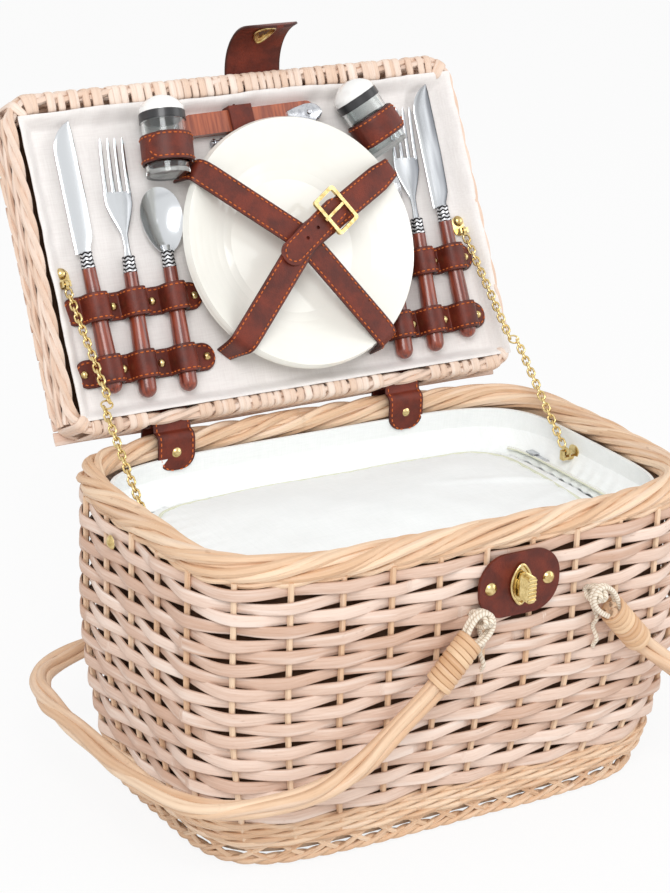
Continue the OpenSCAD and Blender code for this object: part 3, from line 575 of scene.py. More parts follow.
class Bench:
    """One material's node tree, with the few moves that every finish uses."""

    def __init__(self, name: str) -> None:
        """Starts a material with one Principled shader."""
        self.result = bpy.data.materials.new(name)
        self.result.use_nodes = True
        self.tree = self.result.node_tree
        self.shader = self.tree.nodes["Principled BSDF"]

    def node(self, kind: str, settings: Optional[dict] = None, inputs: Optional[dict] = None) -> bpy.types.Node:
        """Adds a node.

        Args:
            kind: the node's type.
            settings: its settings, which are set first.
            inputs: values or links of its sockets, by name or number.

        Returns:
            The node.
        """
        node = self.tree.nodes.new(kind)
        for key, value in (settings or {}).items():
            setattr(node, key, value)
        for key, value in (inputs or {}).items():
            self.feed(node.inputs[key], value)
        return node

    def feed(self, slot: bpy.types.NodeSocket, value: object) -> None:
        """Links a socket or sets a constant."""
        if isinstance(value, Value):
            value = value.socket
        if isinstance(value, bpy.types.NodeSocket):
            self.tree.links.new(value, slot)
        else:
            slot.default_value = value

    def strip(self) -> tuple[Value, Value, Value]:
        """The piece's own run, side and tone."""
        mark = self.node("ShaderNodeAttribute", {"attribute_name": "strip"})
        parts = self.node("ShaderNodeSeparateXYZ", inputs={0: mark.outputs["Vector"]})
        return tuple(Value(self.tree, parts.outputs[k]) for k in range(3))

    def place(self) -> tuple[Value, Value, Value]:
        """Object coordinates, in metres."""
        where = self.node("ShaderNodeTexCoord")
        parts = self.node("ShaderNodeSeparateXYZ", inputs={0: where.outputs["Object"]})
        return tuple(Value(self.tree, parts.outputs[k]) for k in range(3))

    def vector(self, x: object, y: object, z: object) -> bpy.types.NodeSocket:
        """Three values as a vector."""
        return self.node("ShaderNodeCombineXYZ", inputs={0: x, 1: y, 2: z}).outputs[0]

    def noise(self, vector: bpy.types.NodeSocket, scale: float, detail: float = 3, rough: float = 0.5) -> Value:
        """Noise in about 0..1."""
        node = self.node("ShaderNodeTexNoise", inputs={"Vector": vector, "Scale": scale, "Detail": detail,
                                                       "Roughness": rough})
        return Value(self.tree, node.outputs["Fac"])

    def blend(self, factor: object, first: object, second: object) -> bpy.types.NodeSocket:
        """Mixes two colours."""
        node = self.node("ShaderNodeMix", {"data_type": "RGBA"}, {0: factor, 6: first, 7: second})
        return node.outputs[2]

    def bump(self, height: Value, distance: float, strength: float = 1.0) -> None:
        """Feeds the shader's normal from a height."""
        node = self.node("ShaderNodeBump", inputs={"Height": height, "Distance": distance, "Strength": strength})
        self.feed(self.shader.inputs["Normal"], node.outputs["Normal"])

    def done(self, **inputs: object) -> bpy.types.Material:
        """Sets the shader's sockets, named with underscores for spaces, and returns the material."""
        for key, value in inputs.items():
            self.feed(self.shader.inputs[key.replace("_", " ")], value)
        return self.result


class Finish:
    """Something that a piece is made of. Each finish makes its material once."""

    name = "finish"
    _made: dict = {}

    def material(self) -> bpy.types.Material:
        """The finish's material."""
        if self not in Finish._made:
            Finish._made[self] = self.make(Bench(self.name))
        return Finish._made[self]

    def make(self, bench: Bench) -> bpy.types.Material:
        """Lays out the nodes."""
        raise NotImplementedError


@dataclass(frozen=True)
class Willow(Finish):
    """Peeled willow, limewashed: streaks along the strip, pale chalk, brown flecks, and darker edges that are painted
    shade where each strip meets its neighbours.
    """

    name: str
    pale: tuple = srgb(242, 221, 204)
    warm: tuple = srgb(222, 188, 160)
    fleck: tuple = srgb(158, 112, 82)
    chalk: float = 0.45
    # how strong the painted shade at the strip's edges is
    edge: float = 0.5

    def make(self, bench: Bench) -> bpy.types.Material:
        """Mixes streaks, chalk and flecks on the strip's own run and side, and paints shade at the strip's edges."""
        run, side, tone = bench.strip()
        streak = bench.noise(bench.vector(run * 26, side * 2.4, tone * 41), 1.6, 4, 0.6)
        cloud = bench.noise(bench.vector(run * 9, side * 0.6, tone * 29), 1.3, 2)
        spot = bench.noise(bench.vector(run * 60, side * 1.2, tone * 67), 1.4, 2).over(0.68, 0.8)
        body = bench.blend((tone * 0.55 + streak * 0.6 - 0.05).over(0.1, 0.95), self.pale, self.warm)
        body = bench.blend(cloud.over(0.5, 0.75) * self.chalk, body, srgb(247, 234, 224))
        body = bench.blend((streak.over(0.6, 0.85) * 0.35) + spot * 0.45, body, self.fleck)
        # painted shade: the strip darkens towards its edges, where it meets its neighbours
        body = bench.blend(side.abs().over(0.78, 1.0) * self.edge, body, self.fleck)
        bench.bump(streak, 0.0006, 0.7)
        return bench.done(Base_Color=body, Roughness=streak * 0.2 + 0.42, Specular_IOR_Level=0.4)


@dataclass(frozen=True)
class PaintedShade(Finish):
    """Painted shade: a dark sheet behind the weaving, where only shade is seen."""

    name: str = "painted_shade"

    def make(self, bench: Bench) -> bpy.types.Material:
        """Painted shade: a dark brown with a faint mottle."""
        mottle = bench.noise(bench.vector(*bench.place()), 120, 3)
        return bench.done(Base_Color=bench.blend(mottle, srgb(74, 48, 32), srgb(104, 72, 50)), Roughness=0.95)


@dataclass(frozen=True)
class Cloth(Finish):
    """Plain woven cloth: two sets of fine threads crossing, a little shading and soft sheen."""

    name: str
    base: tuple = srgb(240, 237, 232)
    shade: tuple = srgb(224, 219, 214)
    sheen: float = 0.2

    def make(self, bench: Bench) -> bpy.types.Material:
        """Crosses two stretched noises for the threads."""
        x, y, z = bench.place()
        warp = bench.noise(bench.vector(x * 1100, y * 70, z * 70), 1.0, 2)
        weft = bench.noise(bench.vector(x * 70, y * 700, z * 900), 1.0, 2)
        thread = warp * 0.5 + weft * 0.5
        cloud = bench.noise(bench.vector(x, y, z), 16, 3)
        color = bench.blend(thread.over(0.35, 0.7) * 0.5 + cloud * 0.5, self.base, self.shade)
        bench.bump(thread, 0.0003, 0.5)
        return bench.done(Base_Color=color, Roughness=0.85, Sheen_Weight=self.sheen, Specular_IOR_Level=0.25)


@dataclass(frozen=True)
class Leather(Finish):
    """Dyed leather: fine pebbled grain, cloudy colour, waxed dark edges."""

    name: str
    base: tuple = srgb(116, 44, 26)
    deep: tuple = srgb(80, 28, 17)
    gloss: float = 0.4

    def make(self, bench: Bench) -> bpy.types.Material:
        """Mixes two browns, darkens the edges and pebbles the surface."""
        _, side, _ = bench.strip()
        where = bench.vector(*bench.place())
        cell = bench.node("ShaderNodeTexVoronoi", {"feature": "F1"}, {"Vector": where, "Scale": 900.0})
        grain = Value(bench.tree, cell.outputs["Distance"])
        cloud = bench.noise(where, 70, 4, 0.6)
        color = bench.blend(cloud.over(0.3, 0.7), self.deep, self.base)
        color = bench.blend(grain.over(0.35, 0.8) * 0.3, color, self.deep)
        color = bench.blend(side.abs().over(0.9, 1.0) * 0.85, color, srgb(48, 18, 12))
        bench.bump(1 - grain, 0.0003, 0.35)
        return bench.done(Base_Color=color, Roughness=cloud * 0.16 + self.gloss, Specular_IOR_Level=0.38)


@dataclass(frozen=True)
class Metal(Finish):
    """Polished metal with faint smudges."""

    name: str
    base: tuple = srgb(230, 208, 152)
    dim: tuple = srgb(186, 158, 98)
    rough: float = 0.2

    def make(self, bench: Bench) -> bpy.types.Material:
        """Smudges colour and roughness with noise."""
        smudge = bench.noise(bench.vector(*bench.place()), 210, 4, 0.6)
        return bench.done(Base_Color=bench.blend(smudge.over(0.35, 0.75), self.base, self.dim), Metallic=1.0,
                          Roughness=smudge * 0.18 + (self.rough - 0.06))


@dataclass(frozen=True)
class Blade(Finish):
    """Mirror steel that is brushed along its length, with a painted dark reflection across its width that deepens
    with its tone.
    """

    name: str
    bright: tuple = srgb(214, 217, 220)
    # colour of the painted dark reflection
    dark: tuple = srgb(92, 94, 98)

    def make(self, bench: Bench) -> bpy.types.Material:
        """Reads side and run: a soft dark band across the width stands for what the steel mirrors."""
        run, side, tone = bench.strip()
        wave = bench.noise(bench.vector(run * 14, side * 0.9, tone * 13), 1.2, 1)
        color = bench.blend((wave * 0.6 + side * 0.35 + tone * 0.7 - 0.5).over(0.0, 0.7), self.bright, self.dark)
        brush = bench.noise(bench.vector(run * 30, side * 30, tone), 6, 2)
        return bench.done(Base_Color=color, Metallic=1.0, Roughness=brush * 0.08 + 0.14)


@dataclass(frozen=True)
class Bolster(Finish):
    """Silver collar with a black zig-zag round it."""

    name: str = "bolster"

    def make(self, bench: Bench) -> bpy.types.Material:
        """A zig-zag: the fractional part of run plus a triangle wave of the angle round the collar."""
        run, side, _ = bench.strip()
        zig = (side * 3).fract() - 0.5
        mask = (run * 330 + zig.abs() * 0.9).fract().over(0.46, 0.54)
        return bench.done(Base_Color=bench.blend(mask, srgb(216, 217, 220), srgb(30, 29, 30)),
                          Metallic=0.75, Roughness=mask * 0.3 + 0.2)


@dataclass(frozen=True)
class Wood(Finish):
    """Lacquered reddish wood with long grain."""

    name: str
    light: tuple = srgb(150, 66, 40)
    deep: tuple = srgb(92, 32, 22)

    def make(self, bench: Bench) -> bpy.types.Material:
        """Stretches noise along the lid's slope, where every grip lies."""
        x, y, z = bench.place()
        slope, off = y * 0.4602 + z * 0.8878, z * 0.4602 - y * 0.8878
        grain = bench.noise(bench.vector(x * 420, slope * 26, off * 420), 1.0, 4, 0.6)
        color = bench.blend(grain.over(0.32, 0.68), self.deep, self.light)
        bench.bump(grain, 0.0002, 0.3)
        return bench.done(Base_Color=color, Roughness=0.34, Coat_Weight=0.6, Coat_Roughness=0.12)


@dataclass(frozen=True)
class Glaze(Finish):
    """Glossy glaze or moulded plastic: one colour with the faintest mottle."""

    name: str
    base: tuple = srgb(248, 247, 240)
    dim: tuple = srgb(243, 241, 232)
    rough: float = 0.14
    coat: float = 0.5

    def make(self, bench: Bench) -> bpy.types.Material:
        """Mottles the colour and the roughness very slightly."""
        mottle = bench.noise(bench.vector(*bench.place()), 40, 2)
        return bench.done(Base_Color=bench.blend(mottle, self.base, self.dim), Roughness=mottle * 0.06 + self.rough,
                          Coat_Weight=self.coat, Coat_Roughness=0.05)


@dataclass(frozen=True)
class Glass(Finish):
    """Clear pressed glass."""

    name: str = "shaker_glass_clear"

    def make(self, bench: Bench) -> bpy.types.Material:
        """Full transmission with slight unevenness in the surface."""
        wave = bench.noise(bench.vector(*bench.place()), 60, 2)
        bench.bump(wave, 0.0006, 0.3)
        return bench.done(Base_Color=bench.blend(wave, srgb(246, 250, 250), srgb(236, 242, 242)),
                          Roughness=0.02, Transmission_Weight=1.0, IOR=1.47)


@dataclass(frozen=True)
class Twine(Finish):
    """Cord or thread: diagonal twist lines on a dull surface."""

    name: str
    base: tuple = srgb(238, 228, 212)
    dark: tuple = srgb(196, 176, 150)

    def make(self, bench: Bench) -> bpy.types.Material:
        """The twist is the fractional part of run plus side."""
        run, side, _ = bench.strip()
        twist = ((run * 420 + side * 0.5).fract() - 0.5).abs() * 2
        bench.bump(twist, 0.0005, 0.6)
        return bench.done(Base_Color=bench.blend(twist.over(0.5, 1.0), self.base, self.dark), Roughness=0.8)


WEAVER = Willow("split_willow_weavers", pale=srgb(240, 217, 202), warm=srgb(203, 166, 143), chalk=0.6)
ROD = Willow("willow_rods", pale=srgb(240, 213, 184), warm=srgb(216, 176, 140), chalk=0.25, edge=0.2)
LIME = Willow("lid_willow", pale=srgb(244, 226, 212), warm=srgb(224, 192, 168), chalk=0.5, edge=0.35)
CANE = Willow("cane_binding", pale=srgb(232, 200, 164), warm=srgb(204, 158, 116), chalk=0.15, edge=0.45)
# dark brown painted shade for the hollows behind the weave, the lid's skin and the eyelet
SHADE_PAINT = PaintedShade()
CLOTH = Cloth("lining_cloth", srgb(240, 236, 233), srgb(226, 220, 217))
BAG = Cloth("bag_fabric", srgb(246, 248, 248), srgb(236, 239, 238), 0.1)
PIPING = Cloth("bag_piping", srgb(226, 228, 208), srgb(206, 208, 184), 0.1)
HIDE = Leather("brown_leather")
STITCH = Twine("orange_thread", srgb(238, 140, 70), srgb(206, 106, 44))
CORD = Twine("white_cord")
BRASS = Metal("polished_brass")
STEEL = Metal("plain_steel", srgb(206, 208, 212), srgb(160, 162, 168), 0.18)
BLADE = Blade("cutlery_steel")
COLLAR = Bolster()
GRIP = Wood("grip_wood")
CORKWOOD = Wood("corkscrew_wood", srgb(176, 92, 56), srgb(132, 58, 34))
CHINA = Glaze("ivory_china")
GLOSS = Glaze("white_gloss_plastic", srgb(248, 248, 246), srgb(242, 242, 240))
BLACK = Glaze("black_trim_plastic", srgb(30, 30, 32), srgb(42, 42, 44), 0.3, 0.2)
GLASS = Glass()


def dress(finish: Finish, *nodes: str) -> None:
    """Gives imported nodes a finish."""
    for name in nodes:
        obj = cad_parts[name]
        obj.data.materials.clear()
        obj.data.materials.append(finish.material())


# ---------- the body

@dataclass
class Outline:
    """The rounded plan of the body: a superellipse whose half length grows from the foot to the belly."""

    top_half: float = 215.0
    flare: float = 22.0
    belly: float = 150.0
    side_diff: float = 75.0
    power: float = 5.0
    samples: int = 4000
    angles: Array = field(init=False)
    shares: Array = field(init=False)

    def __post_init__(self) -> None:
        """Tables the polar angle against the share of the way round, from the middle of the back."""
        turn = np.linspace(0, TAU, self.samples) + math.pi / 2
        ring = self.at_angle(turn, self.top_half - 4)
        run = run_of(ring)
        self.angles, self.shares = turn, run / run[-1]
        self.length = run[-1]

    def half(self, z: Array | float) -> Array:
        """Half length at a height: top - flare times (1 - sin of a quarter turn at the belly)."""
        return self.top_half - self.flare * (1 - np.sin(math.pi / 2 * np.minimum(1, np.asarray(z) / self.belly)))

    def at_angle(self, angle: Array, half: Array | float) -> Array:
        """Plan points at polar angles: radius = (|cos/a|^p + |sin/b|^p) to the power -1/p."""
        a, b, p = half, half - self.side_diff, self.power
        radius = (np.abs(np.cos(angle) / a) ** p + np.abs(np.sin(angle) / b) ** p) ** (-1 / p)
        return np.stack([radius * np.cos(angle), radius * np.sin(angle)], -1)

    def ring(self, share: Array, z: Array, half: Array) -> tuple[Array, Array]:
        """Points and outward directions at shares of the way round.

        Args:
            share: shares of the way round, any number of turns.
            z: heights.
            half: half length of the outline at each point.

        Returns:
            Points (n, 3) and level outward directions (n, 3).
        """
        angle = np.interp(np.mod(share, 1.0), self.shares, self.angles)
        flat = self.at_angle(angle, half)
        a, b = half, half - self.side_diff
        nx = np.sign(flat[:, 0]) * np.abs(flat[:, 0] / a) ** (self.power - 1) / a
        ny = np.sign(flat[:, 1]) * np.abs(flat[:, 1] / b) ** (self.power - 1) / b
        out = unit(np.stack([nx, ny, np.zeros_like(nx)], -1))
        z = np.broadcast_to(z, nx.shape)
        return np.concatenate([flat, z[:, None]], 1), out


@dataclass
class WovenBody:
    """The basket's body: stakes, flat weavers, waling, foot border and rolled rim."""

    outline: Outline
    stakes: int = 32
    rows: int = 20
    low: float = 39.2
    high: float = 224.7
    wall: float = 8.0
    weaver_h: float = 9.8
    weaver_t: float = 2.3
    weaver_power: float = 0.66
    wave: float = 3.1
    roundness: float = 0.35
    stake_d: float = 4.6
    stake_ends: tuple = (19.5, 228)
    wale_rows: int = 5
    wale_low: float = 20.6
    wale_pitch: float = 4.0
    wale_swing: float = 2.3
    wale_d: float = 4.1
    foot_rails: tuple = ((4.7, 188.3), (16.6, 190.0))
    bays: int = 42
    bay_rod_d: float = 3.8
    rim_z: float = 236.0
    rim_half: float = 205.5
    rim_foot: tuple = (227.4, 209.0)
    rim_foot_d: float = 4.6
    # heights and insets of the dark sheet of painted shade inside the wall
    shade_sheet_ends: tuple = (18, 221)
    shade_sheet_insets: tuple = (13.6, 14.2)

    def weavers(self) -> None:
        """Flat strips in plain weave, out at every second stake.

        A row swings by wave times a mix of a cosine and the zig-zag arcsin(cos) / (pi / 2).
        """
        piece = Piece("wall_weavers")
        steps = self.stakes * 8
        share = np.arange(steps) / steps
        pitch = (self.high - self.low) / self.rows
        for row in range(self.rows):
            swing = np.cos(math.pi * (share * self.stakes + row))
            zigzag = (1 - self.roundness) * np.arcsin(np.clip(swing, -1, 1)) * 2 / math.pi
            swing = self.roundness * swing + zigzag
            wobble = 0.85 * np.sin(share * TAU * 5 + row * 2.1) + 0.55 * np.sin(share * TAU * 11 + row)
            z = self.low + pitch * (row + 0.5) + wobble
            base, out = self.outline.ring(share, z, self.outline.half(z) - self.wall / 2)
            path = base + out * (self.wave * swing)[:, None]
            patch = np.floor((share * 3 + 0.37 * row) * (1 + row % 3 * 0.4))
            tones = chance((64,), 11 + row)[patch.astype(int) % 64]
            width = self.weaver_h / 2 * (0.91 + 0.08 * swing + 0.05 * ripple(share * 1400, share * 0, row, 90))
            lean = 0.05 * np.sin(share * TAU * 7 + row * 1.7)
            side = out * np.cos(lean)[:, None] + UP * np.sin(lean)[:, None]
            up = UP * np.cos(lean)[:, None] - out * np.sin(lean)[:, None]
            ribbon(piece, path, side, up, (self.weaver_t / 2, width), share * self.outline.length + row * 31, tones,
                   10, self.weaver_power)
        piece.build(WEAVER, "basket", ["wall_weave"], slot="split_willow")

    def upright(self) -> None:
        """Stakes that stand in the weaving, one between every two swings."""
        piece = Piece("body_stakes")
        heights = np.linspace(*self.stake_ends, 14)
        for k in range(self.stakes):
            share = np.full(len(heights), k / self.stakes)
            path, _ = self.outline.ring(share, heights, self.outline.half(heights) - self.wall / 2)
            rod(piece, path, self.stake_d, draw(k), 6, ref=(1, 0.3, 0))
        piece.build(ROD, "basket", ["stakes"], slot="willow_rod")

    def waling(self) -> None:
        """Close rows of thin rods, woven in twos so that each row reads as a twisted line."""
        piece = Piece("base_waling")
        steps = self.stakes * 8
        share = np.arange(steps) / steps
        patch = 32
        for row in range(self.wale_rows):
            for strand in range(2):
                turn = math.pi * (share * self.stakes + strand + row * 0.5)
                z = self.wale_low + row * self.wale_pitch + 1.1 * np.sin(turn)
                base, out = self.outline.ring(share, z, self.outline.half(z) - self.wall / 2)
                path = base + out * (self.wale_swing * np.cos(turn))[:, None]
                tones = chance((steps // patch,), row * 2 + strand).repeat(patch)[:steps]
                ribbon(piece, path, out, UP, [self.wale_d / 2] * 2, share * self.outline.length + row * 57, tones, 7)
        piece.build(ROD, "basket", ["waling_band"], slot="willow_rod")

    def foot(self) -> None:
        """Open foot border: a twisted rail on the ground, and rods that zig-zag between it and the waling."""
        piece = Piece("foot_rods")
        steps = 288
        share = np.arange(steps) / steps
        low, high = (self.outline.ring(share, z, np.full(steps, half))[0] for z, half in self.foot_rails)
        rope(piece, low, 3, 2.1, 4.6, 24, True, UP, 5)
        rope(piece, high, 2, 1.3, 3.6, 20, True, UP, 8)
        for k in range(self.bays):
            for sign, drop in ((1, 0.0), (-1, 0.14)):
                t = np.linspace(0, 1, 8)
                s = (k + drop + sign * (t - 0.5) * 0.92 + 0.5) / self.bays
                z = 3.6 + 13.6 * t
                half = 188.6 + 2.2 * np.sin(math.pi * t) - 0.8 * drop
                path, _ = self.outline.ring(s, z, half)
                rod(piece, path, self.bay_rod_d, draw(k * 2 + (sign > 0)), 6, ref=(0.3, 0.2, 1))
        piece.build(ROD, "basket", ["foot_border"], slot="willow_rod")

    def rim(self) -> None:
        """Rolled border: eight rods twisted over four inner ones, on a pair of thinner crossing rods."""
        piece = Piece("rolled_rim")
        steps = 320
        share = np.arange(steps) / steps
        base, _ = self.outline.ring(share, self.rim_z, np.full(steps, self.rim_half))
        rope(piece, base, 8, 7.0, 6.6, 6, True, UP, 21, 7, wander=0.32)
        rope(piece, base, 4, 3.2, 6.8, 4, True, UP, 22, 6)
        for k in range(2):
            turn = TAU * share * 21 + math.pi * k
            z = self.rim_foot[0] + 1.6 * np.sin(turn)
            line, out = self.outline.ring(share, z, np.full(steps, self.rim_foot[1]))
            path = line + out * (1.4 * np.cos(turn))[:, None]
            ribbon(piece, path, out, UP, [self.rim_foot_d / 2] * 2, share * self.outline.length, 0.3 + 0.4 * k, 7)
        piece.build(ROD, "basket", ["rim_border"], slot="willow_rod")

    def shade_sheet(self) -> None:
        """Painted shade: a dark inner sheet between the weaving and the bag, so that gaps in the weave read as shade.
        """
        piece = Piece("inner_painted_shade")
        share = np.arange(160) / 160
        levels = np.linspace(*self.shade_sheet_ends, 16)
        rows = [self.outline.ring(share, z, np.full(160, self.outline.half(z) - inset))[0]
                for inset, heights in zip(self.shade_sheet_insets, (levels, np.linspace(*self.shade_sheet_ends[::-1], 16)))
                for z in heights]
        piece.tube(np.stack(rows), plain(np.stack(rows)), closed=True)
        piece.build(SHADE_PAINT, "basket")

    def build(self) -> None:
        """Builds every layer and dresses the base."""
        self.weavers()
        self.upright()
        self.waling()
        self.foot()
        self.rim()
        self.shade_sheet()
        dress(ROD, "base_mat")


# ---------- the handles

class Hand(Enum):
    """Which handle: its body's name, the way its points are turned, and its pivots' place along the basket."""

    LEFT = ("left_handle", 1, -10.0)
    RIGHT = ("right_handle", -1, 90.0)


PIVOT_Z = 180.0


@dataclass
class Handle:
    """A bow of twisted rods, bound with cane at both ends, hung from cord loops."""

    hand: Hand
    plane: float = 152.0
    slope: float = math.radians(48.0)
    leg_start: float = 15.0
    leg_end: float = 65.0
    reach: float = 232.0
    drop: float = 109.0
    square: float = 2 / 4.5
    rods: int = 4
    rod_d: float = 7.8
    rod_spread: float = 4.1
    rod_turns: float = 1.6
    bindings: int = 9
    binding_start: float = 4.5
    binding_pitch: float = 4.4
    binding_r: float = 9.2
    cane_half: tuple = (1.35, 2.35)
    loop_gap: float = 4.2
    loop_d: float = 3.9

    def __post_init__(self) -> None:
        """Reads the hand, and works out the leg's direction and the direction across it."""
        self.body, self.sign, self.pivot_x = self.hand.value
        c, s = math.cos(self.slope), math.sin(self.slope)
        self.along, self.across = np.array([-c, 0, -s]), np.array([-s, 0, c])

    def place(self, points: Array) -> Array:
        """Left-handed points about the pivots, put at this handle's pivots."""
        return points * [self.sign, 1, 1] + [self.pivot_x, 0, PIVOT_Z]

    def leg(self, s: Array, side: float) -> Array:
        """Points on a leg, at a distance from the pivot down its slope."""
        s = np.atleast_1d(np.asarray(s, float))
        return s[:, None] * self.along + [0, side * self.plane, 0]

    def path(self) -> Array:
        """Front leg, bow and back leg: the bow is half a superellipse whose fall follows a power of its reach."""
        start_x, start_z = -self.leg_end * self.along[[0, 2]]
        run, fall = self.reach - start_x, self.drop - start_z
        power = math.tan(self.slope) * run / fall
        t = np.linspace(-math.pi / 2, math.pi / 2, 70)[1:-1]
        c = np.cos(t) ** self.square
        bow = np.stack([-(start_x + run * c), self.plane * bulge(np.sin(t), self.square),
                        -start_z - fall * (1 - (1 - c) ** power)], -1)
        legs = np.linspace(self.leg_start + 2, self.leg_end - 4, 6)
        whole = np.concatenate([self.leg(legs, -1), bow, self.leg(legs[::-1], 1)])
        return resample(rounded(whole, 2), 150)

    def bow(self) -> None:
        """The rods of the bow, twisted one and a half times round each other."""
        piece = Piece(f"{self.body}_rods")
        rope(piece, self.place(self.path()), self.rods, self.rod_spread, self.rod_d, self.rod_turns, False,
             -self.across * [self.sign, 1, 1], 31 if self.sign > 0 else 47, 8, wander=0.5)
        piece.build(ROD, self.body, [f"{self.body}_bow"], slot="willow_rod")

    def wraps(self) -> None:
        """Cane wound round both ends, ring beside ring, each leaning a little."""
        piece = Piece(f"{self.body}_cane")
        turn, flip = around(24), np.array([self.sign, 1, 1])
        for side in (-1, 1):
            for k in range(self.bindings):
                centre = self.leg(self.leg_start + self.binding_start + k * self.binding_pitch, side)
                lean = (1.6 * np.cos(turn + k * 0.2))[:, None] * self.along
                middle = centre + lean \
                    + self.binding_r * (-np.cos(turn)[:, None] * self.across + np.sin(turn)[:, None] * [0, 1, 0])
                out = unit(middle - centre - lean)
                ribbon(piece, self.place(middle), out * flip, self.along * flip, self.cane_half, turn * 9 + k * 40,
                       draw(k + 20 * (side > 0)), 8, 0.8)
        piece.build(CANE, self.body, [f"{self.body}_bindings"], slot="cane_wrap")

    def cords(self) -> None:
        """Two cord loops at each end: from the binding, round the pivot and back."""
        piece = Piece(f"{self.body}_loops")
        t = around(40)
        far, wide = np.cos(t) * 15.0 + 10.0, -np.sin(t) * (8.4 - 2.6 * np.cos(t))
        for side in (-1, 1):
            for k in range(2):
                loop = far[:, None] * self.along + wide[:, None] * self.across
                loop[:, 1] = side * (self.plane + (k - 0.5) * self.loop_gap + 0.9 * np.sin(t + k))
                rod(piece, self.place(loop), self.loop_d, 0.5, 8, closed=True, ref=(0, 1, 0.02))
        piece.build(CORD, self.body, [f"{self.body}_eyes"], slot="cord")

    def build(self) -> None:
        """Builds the handle."""
        self.bow()
        self.wraps()
        self.cords()


@dataclass
class PivotCords:
    """The cords that hold the handles to the wall: two loops at each pivot and a run down into the weave."""

    wall_y: float = 140.0
    loop_y: float = 146.6
    loop_r: float = 9.6
    loop_d: float = 3.8
    tail_d: float = 3.4
    tail: float = 42.0

    def build(self) -> None:
        """Loops that pass through the handle's own loops and into the wall."""
        piece = Piece("pivot_cords")
        t = around(36)
        down = np.linspace(0, 1, 26)
        for x in (hand.value[2] for hand in Hand):
            for side in (-1, 1):
                for k in range(2):
                    reach = self.loop_y + self.loop_r * np.cos(t)
                    loop = np.stack([x + (k - 0.5) * 4.4 + 0.8 * np.sin(t), side * reach,
                                     PIVOT_Z - 1 + 4.6 * np.sin(t)], -1)
                    rod(piece, loop, self.loop_d, 0.5, 8, closed=True, ref=(1, 0.02, 0))
                run = np.stack([x + 5 + 3 * down, side * (self.wall_y + 2.4 * np.cos(down * math.pi * 5)),
                                PIVOT_Z - 6 - self.tail * down], -1)
                rod(piece, run, self.tail_d, 0.5, 7, ref=(1, 0.1, 0))
        piece.build(CORD, "basket", ["handle_pivots"], slot="cord")


# ---------- the lid

SLOPE = np.array([[1, 0, 0], [0, 0.4602, 0.8878], [0, -0.8878, 0.4602]])
LID_ZERO = np.array([0.0, 120.52, 266.56])
OUT = SLOPE[2]


def on_lid(points: Array) -> Array:
    """Lid coordinates (u along, v from the hinge, w out of the lining) in the basket's frame at rest."""
    return points @ SLOPE + LID_ZERO


def uvw(u: object, v: object, w: object) -> Array:
    """Three coordinates, each an array or a number, as lid points in the basket's frame."""
    return on_lid(np.stack(np.broadcast_arrays(*(np.asarray(c, float) for c in (u, v, w))), -1))


BOARD = -8.7
HINGES = (-114.0, 93.0)


